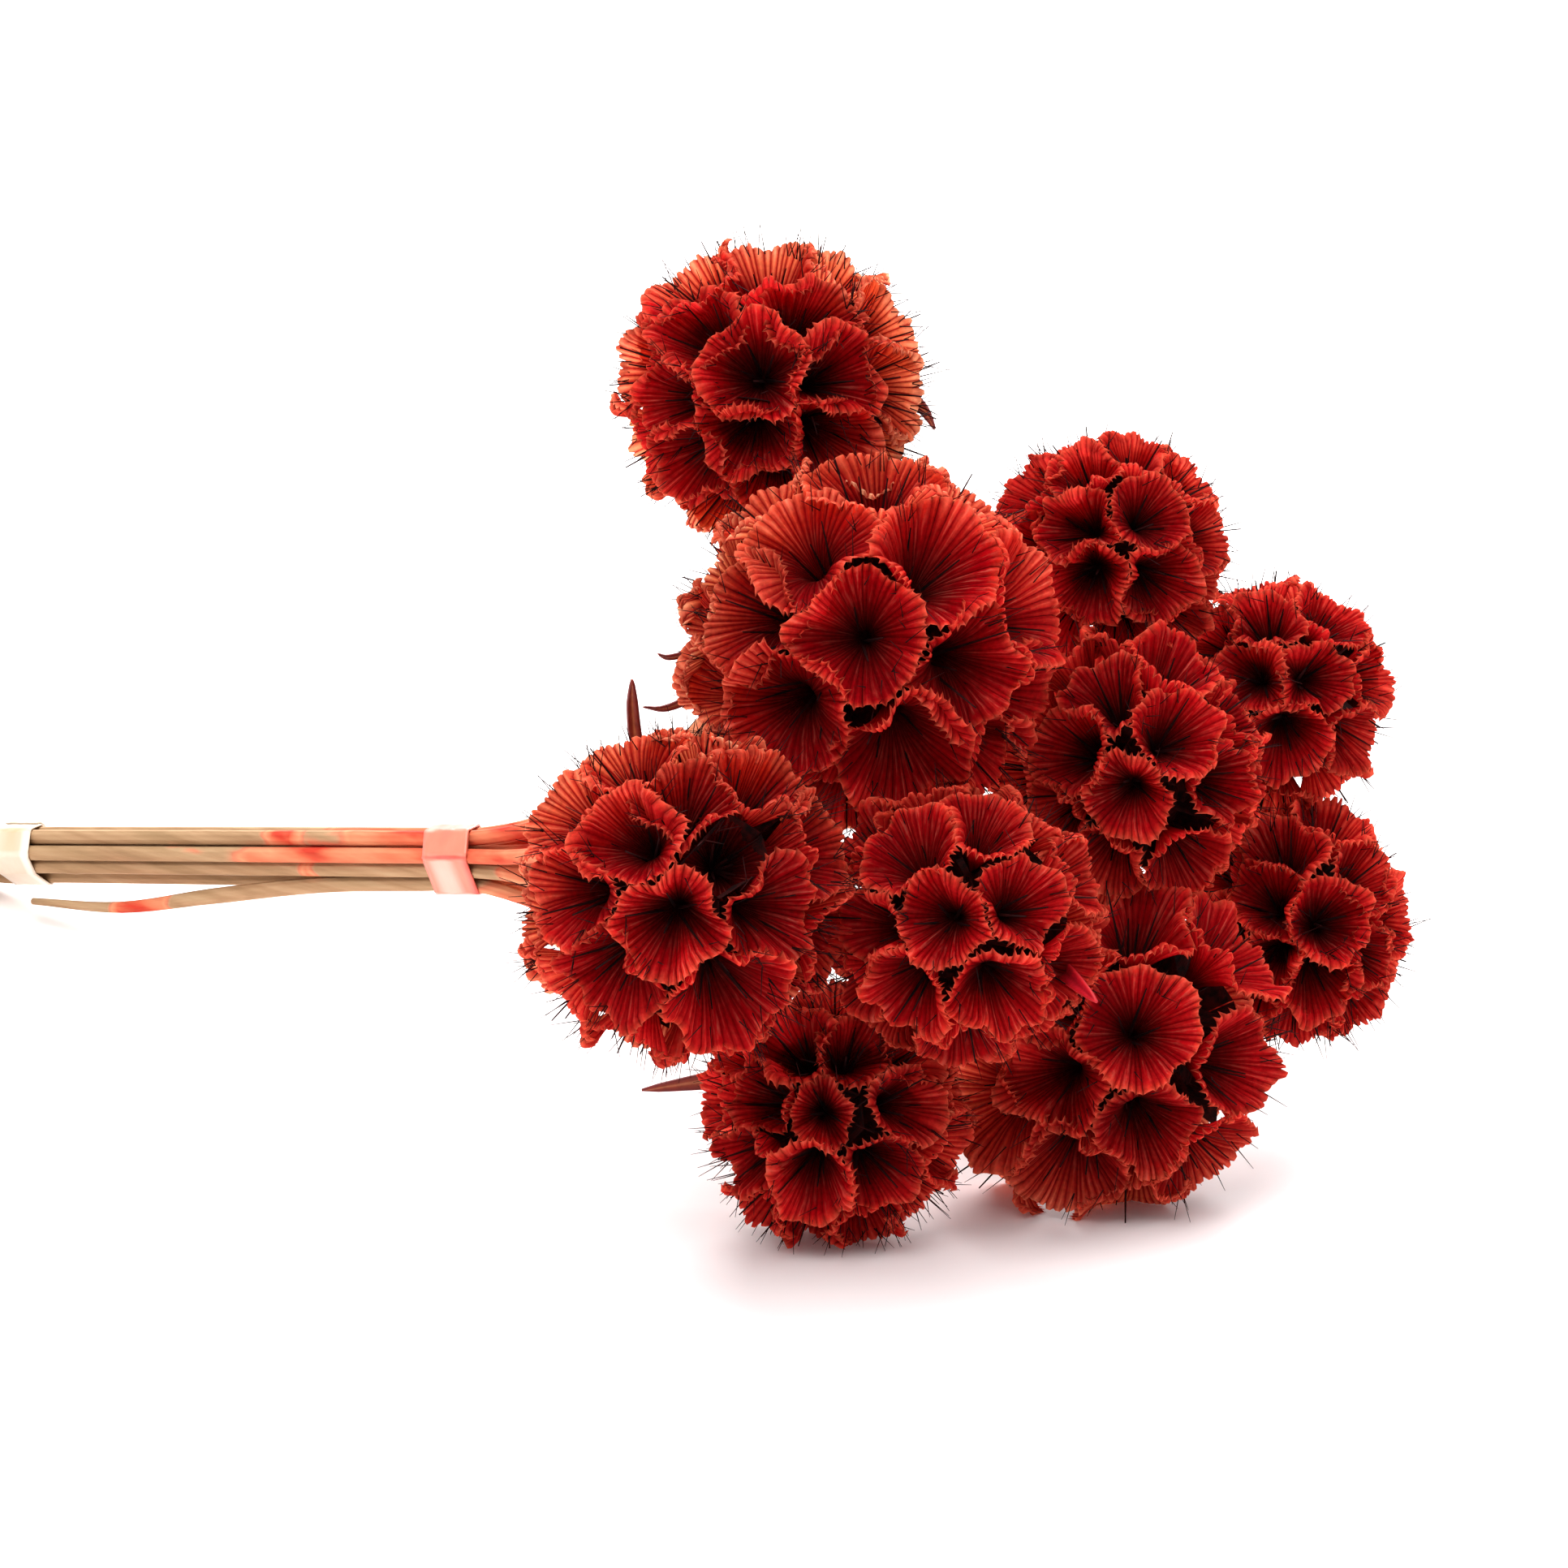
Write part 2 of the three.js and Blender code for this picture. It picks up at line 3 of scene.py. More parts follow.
import bpy
import numpy as np
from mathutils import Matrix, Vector


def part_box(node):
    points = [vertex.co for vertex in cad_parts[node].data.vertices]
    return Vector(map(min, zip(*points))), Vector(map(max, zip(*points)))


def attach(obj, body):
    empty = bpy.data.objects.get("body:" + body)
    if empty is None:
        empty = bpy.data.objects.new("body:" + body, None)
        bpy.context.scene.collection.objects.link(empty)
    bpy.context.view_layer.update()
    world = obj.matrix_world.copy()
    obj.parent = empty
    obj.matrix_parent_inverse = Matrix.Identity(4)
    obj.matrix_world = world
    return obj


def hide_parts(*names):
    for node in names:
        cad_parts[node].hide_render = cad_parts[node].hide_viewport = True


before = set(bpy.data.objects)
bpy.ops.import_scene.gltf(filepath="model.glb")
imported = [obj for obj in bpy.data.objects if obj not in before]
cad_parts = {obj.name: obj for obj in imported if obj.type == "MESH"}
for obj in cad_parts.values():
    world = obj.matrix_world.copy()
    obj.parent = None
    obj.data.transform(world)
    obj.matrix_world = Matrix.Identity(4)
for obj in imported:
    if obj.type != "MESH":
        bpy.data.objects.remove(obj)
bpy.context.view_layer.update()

# The bunch is drawn in millimetres, as its solids are. The front tie gives the drawing's place in the frame.
drawing = dict(frontTie=(70.5, 0, 24.8), backTie=(-27, 0, 7.1))
tieLow, tieHigh = (np.array(corner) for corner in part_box("tie_front"))
drawingShift = (tieLow + tieHigh) / 2 - np.array(drawing["frontTie"]) / 1000


def inFrame(points):
    return np.asarray(points, float) / 1000 + drawingShift


def unit(vectors):
    return vectors / np.linalg.norm(vectors, axis=-1, keepdims=True)


# Camera, floor and light.
view = dict(middle=(146, -11.5, 50.7), azimuth=45, elevation=14, distance=650, lens=121.118, nearest=20)
azimuth, elevation = math.radians(view["azimuth"]), math.radians(view["elevation"])
towardsCamera = Vector(
    (math.cos(elevation) * math.sin(azimuth), -math.cos(elevation) * math.cos(azimuth), math.sin(elevation))
)
bpy.ops.object.camera_add(location=Vector(inFrame(view["middle"])) + towardsCamera * view["distance"] / 1000)
camera = bpy.context.object
camera.rotation_euler = (-towardsCamera).to_track_quat("-Z", "Y").to_euler()
camera.data.lens = view["lens"]
camera.data.clip_start = view["nearest"] / 1000
bpy.context.scene.camera = camera
print("camera placed")

studio = dict(
    floorSize=14,
    floorColor=(0.95, 0.885, 0.88, 1),
    floorRoughness=0.7,
    floorGloss=0.15,
    skyStrength=0.75,
    lamps=(  # name, place, where it points, size in metres, watts
        ("keyLight", (0.55, -0.75, 1.25), (0.1, 0, 0.05), 0.9, 13),
        ("topLight", (0.0, 0.2, 1.5), (0.1, 0, 0), 1.6, 20),
        ("backLight", (-0.65, 0.85, 0.75), (0.1, 0, 0.05), 0.9, 24),
    ),
)


def newMaterial(name):
    material = bpy.data.materials.new(name)
    material.use_nodes = True
    return material, material.node_tree


floorMaterial, tree = newMaterial("paleFloor")
shader = tree.nodes["Principled BSDF"]
shader.inputs["Base Color"].default_value = studio["floorColor"]
shader.inputs["Roughness"].default_value = studio["floorRoughness"]
shader.inputs["Specular IOR Level"].default_value = studio["floorGloss"]
bpy.ops.mesh.primitive_plane_add(size=studio["floorSize"], location=(0, 0, 0))
floor = bpy.context.object
floor.name = "floor"
floor.data.materials.append(floorMaterial)
for name, place, target, size, watts in studio["lamps"]:
    bpy.ops.object.light_add(type="AREA", location=place)
    lamp = bpy.context.object
    lamp.name = name
    lamp.data.shape = "DISK"
    lamp.data.size = size
    lamp.data.energy = watts
    lamp.rotation_euler = (Vector(target) - Vector(place)).to_track_quat("-Z", "Y").to_euler()
world = bpy.data.worlds.new("softRoom")
world.use_nodes = True
world.node_tree.nodes["Background"].inputs["Color"].default_value = (1, 1, 1, 1)
world.node_tree.nodes["Background"].inputs["Strength"].default_value = studio["skyStrength"]
bpy.context.scene.world = world
bpy.context.scene.view_settings.view_transform = "Standard"
print("floor and lights placed")


# Shapes that start as a flat sheet of squares and are rolled or bent in code
def verticesOf(piece):
    co = np.empty(len(piece.data.vertices) * 3)
    piece.data.vertices.foreach_get("co", co)
    return co.reshape(-1, 3)


def moveVertices(piece, points):
    piece.data.vertices.foreach_set("co", inFrame(points).astype(np.float32).ravel())


def addSheet(name, columns, rows):
    bpy.ops.object.select_all(action="DESELECT")
    bpy.ops.mesh.primitive_grid_add(x_subdivisions=columns, y_subdivisions=rows, size=2)
    sheet = bpy.context.object
    sheet.name = name
    co = verticesOf(sheet)
    column = np.rint((co[:, 0] + 1) / 2 * columns).astype(int)
    row = np.rint((co[:, 1] + 1) / 2 * rows).astype(int)
    return sheet, column, row


def bendSheet(sheet, points, across, along, **shades):
    moveVertices(sheet, points)
    mesh = sheet.data
    corner = np.empty(len(mesh.loops), int)
    mesh.loops.foreach_get("vertex_index", corner)
    mesh.uv_layers[0].name = "weave"
    mesh.uv_layers[0].data.foreach_set("uv", np.stack([across[corner], along[corner]], 1).ravel())
    for name, values in shades.items():
        shade = mesh.attributes.get(name) or mesh.attributes.new(name, "FLOAT", "POINT")
        shade.data.foreach_set("value", np.full(len(mesh.vertices), values, np.float32))
    mesh.update()


def thicken(sheet, thickness):
    bpy.ops.object.modifier_add(type="SOLIDIFY")
    sheet.modifiers[0].thickness = thickness / 1000
    sheet.modifiers[0].offset = 0
    bpy.ops.object.modifier_apply(modifier=sheet.modifiers[0].name)


def copyOf(piece):
    twin = piece.copy()
    twin.data = piece.data.copy()
    bpy.context.collection.objects.link(twin)
    return twin


def joinAs(name, pieces, weld=1e-6):
    bpy.ops.object.select_all(action="DESELECT")
    for piece in pieces:
        piece.select_set(True)
    bpy.context.view_layer.objects.active = pieces[0]
    bpy.ops.object.join()
    whole = bpy.context.object
    whole.name = name
    bpy.ops.object.transform_apply(location=True, rotation=True, scale=True)
    if weld:
        bpy.ops.object.mode_set(mode="EDIT")
        bpy.ops.mesh.select_all(action="SELECT")
        bpy.ops.mesh.remove_doubles(threshold=weld)
        bpy.ops.object.mode_set(mode="OBJECT")
    return whole


def paint(piece, material):
    piece.data.materials.clear()
    piece.data.materials.append(material)


def dress(piece, node):
    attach(piece, "root")
    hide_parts(node)


# Finishes.
def newNode(tree, kind, inputs=None, **settings):
    node = tree.nodes.new("ShaderNode" + kind)
    for name, value in settings.items():
        setattr(node, name, value)
    for name, value in (inputs or {}).items():
        if isinstance(value, bpy.types.NodeSocket):
            tree.links.new(value, node.inputs[name])
        else:
            node.inputs[name].default_value = value
    return node


def mathNode(tree, operation, *values):
    return newNode(tree, "Math", dict(enumerate(values)), operation=operation).outputs[0]


def timesNode(tree, value, amount):
    return mathNode(tree, "MULTIPLY", value, amount)


def sumNode(tree, start, *parts):  # each part is a value and how much of it is added
    for value, amount in parts:
        start = mathNode(tree, "ADD", start, timesNode(tree, value, amount))
    return start


def mottledNode(tree, value, cloud, amount):  # raised and lowered by a cloud whose middle is a half
    return sumNode(tree, value, (mathNode(tree, "SUBTRACT", cloud, 0.5), amount))


def heldNode(tree, value):  # between nothing and all
    return mathNode(tree, "MINIMUM", mathNode(tree, "MAXIMUM", value, 0.0), 1.0)


def colorOf(red, green, blue):  # as seen on a screen, 0 to 255
    return (*[(c / 255) ** 2.2 for c in (red, green, blue)], 1)


def rampNode(tree, source, stops):
    ramp = newNode(tree, "ValToRGB", {"Fac": source})
    while len(ramp.color_ramp.elements) < len(stops):
        ramp.color_ramp.elements.new(0.5)
    for element, (place, color) in zip(ramp.color_ramp.elements, stops):
        element.position = place
        element.color = colorOf(*color)
    return ramp.outputs["Color"]


def mixNode(tree, share, first, second):
    return newNode(tree, "Mix", {0: share, 6: first, 7: second}, data_type="RGBA").outputs[2]


def noiseNode(tree, scale, detail=3, stretch=None, place=None):
    if place is None:
        place = newNode(tree, "TexCoord").outputs["Object"]
    if stretch:
        place = newNode(tree, "Mapping", {"Vector": place, "Scale": stretch}).outputs["Vector"]
    return newNode(tree, "TexNoise", {"Vector": place, "Scale": scale, "Detail": detail}).outputs["Fac"]


def placeNode(tree, *values):
    return newNode(tree, "CombineXYZ", dict(enumerate(values))).outputs[0]


def chanceNode(tree, across, tone, spread):  # a number by chance for each whole step across each floret
    place = placeNode(tree, mathNode(tree, "FLOOR", across), timesNode(tree, tone, spread))
    return newNode(tree, "TexWhiteNoise", {"Vector": place}, noise_dimensions="2D").outputs["Value"]


def weaveNodes(tree):
    uv = newNode(tree, "UVMap", uv_map="weave").outputs["UV"]
    return newNode(tree, "SeparateXYZ", {"Vector": uv}).outputs[:2]


def shadeNode(tree, name):
    return newNode(tree, "Attribute", attribute_name=name).outputs["Fac"]


def scaledNode(tree, color, amount):
    return newNode(tree, "VectorMath", {"Scale": amount, 0: color}, operation="SCALE").outputs[0]


def finish(material, look, color, height=None, glowColor=None):
    tree = material.node_tree
    shader = tree.nodes["Principled BSDF"]
    tree.links.new(color, shader.inputs["Base Color"])
    shader.inputs["Roughness"].default_value = look["roughness"]
    shader.inputs["Specular IOR Level"].default_value = look["gloss"]
    if height is not None:
        relief = {"Height": height, "Strength": look["reliefStrength"], "Distance": look["relief"]}
        tree.links.new(newNode(tree, "Bump", relief).outputs["Normal"], shader.inputs["Normal"])
    if glowColor is not None:
        glow = newNode(tree, "BsdfTranslucent", {"Color": glowColor}).outputs[0]
        mix = newNode(tree, "MixShader", {"Fac": look["translucency"], 1: shader.outputs[0], 2: glow})
        tree.links.new(mix.outputs[0], tree.nodes["Material Output"].inputs["Surface"])
    return material


paper = dict(
    # colours from the throat to the rim: on top of a head, and further down, where the florets are painted
    # paler and more orange, as light shining through them
    # the dark throat is partly the paper's own dye and partly painted shade deep in the funnel, and the
    # bright lip is a painted highlight on the rim
    red=(
        (0.0, (26, 0, 3)), (0.14, (48, 0, 6)), (0.3, (98, 0, 13)), (0.52, (138, 1, 18)),
        (0.74, (160, 3, 23)), (0.84, (176, 10, 26)), (0.92, (220, 50, 43)), (1.0, (252, 106, 80)),
    ),
    orange=(
        (0.0, (30, 0, 3)), (0.45, (136, 3, 14)), (0.7, (180, 18, 20)),
        (0.88, (238, 84, 52)), (1.0, (255, 140, 98)),
    ),
    orangeShare=0.8,
    # the same for the light that shines through, which is palest between the ribs
    redGlow=(
        (0.0, (20, 0, 0)), (0.28, (72, 0, 6)), (0.46, (134, 1, 14)),
        (0.62, (172, 6, 22)), (0.84, (206, 34, 36)), (1.0, (244, 84, 62)),
    ),
    paleGlow=((0.4, (190, 24, 22)), (0.74, (252, 136, 90)), (1.0, (255, 202, 156))),
    paleShare=(0.03, 2.0),  # how much of the pale everywhere, and how much more on the outer florets, painted as light shining through them
    # the dark line along each rib: its width in halves of the way to the next rib, how dark it is at least,
    # how much darker by chance and at most, and how rare the dark ones are
    lineWidth=0.2, lineDark=(0.18, 0.85, 0.93), rare=2.2, lineColor=(52, 3, 6), lineGlow=(84, 14, 10),
    # pale streaks between the ribs, partly the paper's own pale cells and partly painted light shining
    # through them: how fast they change across, along and from floret to floret, the streaks that they start
    # from, how sharply, and how strong they are at most
    streaks=(4.3, 5.0, 40.0), paleLitColor=(206, 124, 104), paleLitCells=(0.48, 5.0, 0.7),
    # how light the paper is, and what cells, streaks, the floret's tone and height, the way from a rib and
    # fibres add: the height is a painted shade on florets that stand lower, the way from a rib a painted
    # highlight midway between the ribs
    light=-0.12, lightens=(0.35, 0.5, 0.14, 0.42, 0.9),
    chances=(91.7, 57.3),  # what makes the ribs and the cells of each floret differ
    fibres=1900, fibreRelief=0.6, relief=0.00016, reliefStrength=0.5,
    roughness=0.9, gloss=0.06, translucency=0.66,
)


def paperMaterial():
    material, tree = newMaterial("dyedPaper")
    across, along = weaveNodes(tree)
    tone, thin = shadeNode(tree, "tone"), shadeNode(tree, "thin")
    red, orange, redGlow, paleGlow = (
        rampNode(tree, along, paper[name]) for name in ("red", "orange", "redGlow", "paleGlow")
    )
    # the outer florets are painted more orange, as light shining through them
    body = mixNode(tree, timesNode(tree, thin, paper["orangeShare"]), red, orange)
    # a dark line runs along each rib, some darker than others
    fromRib = timesNode(tree, mathNode(tree, "PINGPONG", across, 0.5), 2.0)
    line = mathNode(tree, "MINIMUM", mathNode(tree, "DIVIDE", fromRib, paper["lineWidth"]), 1.0)
    line = mathNode(tree, "SUBTRACT", 1.0, line)
    least, more, most = paper["lineDark"]
    ribChance = chanceNode(tree, mathNode(tree, "ADD", across, 0.5), tone, paper["chances"][0])
    dark = sumNode(tree, least, (mathNode(tree, "POWER", ribChance, paper["rare"]), more))
    line = mathNode(tree, "MINIMUM", timesNode(tree, line, dark), most)
    body = mixNode(tree, line, body, colorOf(*paper["lineColor"]))
    # between two ribs the paper is a little paler or darker than in the next cell, with streaks along it
    cellChance = chanceNode(tree, across, tone, paper["chances"][1])
    run = [timesNode(tree, value, speed) for value, speed in zip((across, along, tone), paper["streaks"])]
    streaks = noiseNode(tree, 1, place=placeNode(tree, *run))
    # pale streaks near the rim: partly the paper's own pale cells, partly painted light shining through them
    start, edge, most = paper["paleLitCells"]
    paleLitCells = timesNode(tree, mathNode(tree, "SUBTRACT", streaks, start), edge)
    paleLitCells = timesNode(tree, mathNode(tree, "MAXIMUM", paleLitCells, 0.0), cellChance)
    paleLitCells = timesNode(tree, mathNode(tree, "MINIMUM", paleLitCells, most), along)
    body = mixNode(tree, timesNode(tree, paleLitCells, fromRib), body, colorOf(*paper["paleLitColor"]))
    fibres = noiseNode(tree, paper["fibres"], 4)
    # midway between two ribs the paper is painted lighter, a painted highlight on each fold, and florets that
    # stand lower are painted darker, a painted shade
    lights = zip((cellChance, streaks, tone, fromRib, fibres), paper["lightens"])
    light = sumNode(tree, paper["light"], *lights)
    relief = mathNode(tree, "SUBTRACT", timesNode(tree, fibres, paper["fibreRelief"]), fromRib)
    everywhere, whereBacklit = paper["paleShare"]
    pale = timesNode(tree, fromRib, sumNode(tree, everywhere, (thin, whereBacklit)))
    glow = mixNode(tree, mathNode(tree, "MINIMUM", pale, 1.0), redGlow, paleGlow)
    glow = mixNode(tree, line, glow, colorOf(*paper["lineGlow"]))
    return finish(material, paper, scaledNode(tree, body, light), relief, scaledNode(tree, glow, light))


# the base inside each head with its scales, whose dark colour also paints the shade in the gaps between the
# florets, and the bristles
darkCore = dict(
    speckles=900, detail=4, colors=((0.35, (22, 3, 3)), (0.65, (62, 10, 8))),
    relief=0.0006, reliefStrength=0.5, roughness=0.9, gloss=0.2,
)
darkBristle = dict(
    speckles=400, detail=2, colors=((0.3, (16, 2, 2)), (0.7, (52, 9, 8))),
    roughness=0.8, gloss=0.15,
)


def darkMaterial(name, dark):
    material, tree = newMaterial(name)
    speckle = noiseNode(tree, dark["speckles"], dark["detail"])
    height = speckle if "relief" in dark else None
    return finish(material, dark, rampNode(tree, speckle, dark["colors"]), height)


straw = dict(
    dry=((0.25, (136, 100, 72)), (0.42, (166, 126, 94)), (0.58, (186, 146, 112)), (0.8, (200, 166, 130))),
    olive=(156, 128, 92),
    dyed=(
        (0.3, (206, 160, 124)), (0.44, (208, 112, 84)), (0.6, (216, 140, 102)),
        (0.85, (212, 108, 76)), (1.0, (194, 60, 42)),
    ),
    streaks=900, streakStretch=(0.03, 1, 1), mottle=190, mottleStretch=(0.26, 1, 1),
    mottled=1.5,  # how far the mottle spreads the dye
    dyedFrom=0.3, dyedEdge=5.0, light=0.68, lightStreaks=0.6,
    flutes=9.0, relief=0.00025, reliefStrength=0.6, roughness=0.78, gloss=0.15,
)


def strawMaterial():
    material, tree = newMaterial("dyeSplashedStraw")
    across = weaveNodes(tree)[0]
    streak = noiseNode(tree, straw["streaks"], 4, straw["streakStretch"])
    mottle = noiseNode(tree, straw["mottle"], 3, straw["mottleStretch"])
    dry = mixNode(tree, mottle, rampNode(tree, streak, straw["dry"]), colorOf(*straw["olive"]))
    wet = mottledNode(tree, shadeNode(tree, "dye"), mottle, straw["mottled"])
    edge = timesNode(tree, mathNode(tree, "SUBTRACT", wet, straw["dyedFrom"]), straw["dyedEdge"])
    light = sumNode(tree, straw["light"], (streak, straw["lightStreaks"]))
    dyed = scaledNode(tree, rampNode(tree, wet, straw["dyed"]), light)
    flutes = mathNode(tree, "PINGPONG", timesNode(tree, across, straw["flutes"]), 0.5)
    color = mixNode(tree, heldNode(tree, edge), dry, dyed)
    return finish(material, straw, color, mathNode(tree, "ADD", flutes, streak))


driedLeaf = dict(  # colours from the middle to the edges of a bract
    brown=((0.0, (116, 30, 24)), (0.3, (142, 56, 36)), (0.5, (184, 108, 72))),
    crimson=((0.0, (188, 22, 34)), (0.2, (176, 8, 34)), (0.5, (146, 4, 26))),
    veins=1100, light=0.62, lightVeins=0.7, relief=0.0003, reliefStrength=0.5,
    roughness=0.55, gloss=0.4,
)


def bractMaterial():
    material, tree = newMaterial("driedBract")
    middle = mathNode(tree, "PINGPONG", weaveNodes(tree)[0], 0.5)
    vein = noiseNode(tree, driedLeaf["veins"])
    brown, crimson = (rampNode(tree, middle, driedLeaf[name]) for name in ("brown", "crimson"))
    color = mixNode(tree, shadeNode(tree, "dye"), brown, crimson)
    light = sumNode(tree, driedLeaf["light"], (vein, driedLeaf["lightVeins"]))
    return finish(material, driedLeaf, scaledNode(tree, color, light), vein)


film = dict(
    clouds=260, cloudedStains=0.8, cloudedPatches=0.5,
    creases=420, creaseStretch=(1, 0.3, 0.3), relief=0.0004, reliefStrength=0.4,
    roughness=0.32, gloss=0.5,
)
pinkFilm = dict(plain=((228, 138, 112), (216, 108, 86)), stain=(214, 76, 62), patch=(222, 176, 158))
whiteFilm = dict(plain=((206, 186, 160), (224, 208, 188)), stain=(206, 176, 140), patch=(240, 230, 216))


def tapeMaterial(name, tints):
    material, tree = newMaterial(name)
    cloud = noiseNode(tree, film["clouds"])
    color = mixNode(tree, cloud, *(colorOf(*tint) for tint in tints["plain"]))
    for mark, clouded in (("stain", film["cloudedStains"]), ("patch", film["cloudedPatches"])):
        share = heldNode(tree, mottledNode(tree, shadeNode(tree, mark), cloud, clouded))
        color = mixNode(tree, share, color, colorOf(*tints[mark]))
    return finish(material, film, color, noiseNode(tree, film["creases"], 2, film["creaseStretch"]))


paperFinish, strawFinish, bractFinish = paperMaterial(), strawMaterial(), bractMaterial()
coreFinish, bristleFinish = darkMaterial("darkCore", darkCore), darkMaterial("darkBristle", darkBristle)
pinkTape, whiteTape = tapeMaterial("pinkTape", pinkFilm), tapeMaterial("whiteTape", whiteFilm)
print("finishes mixed")
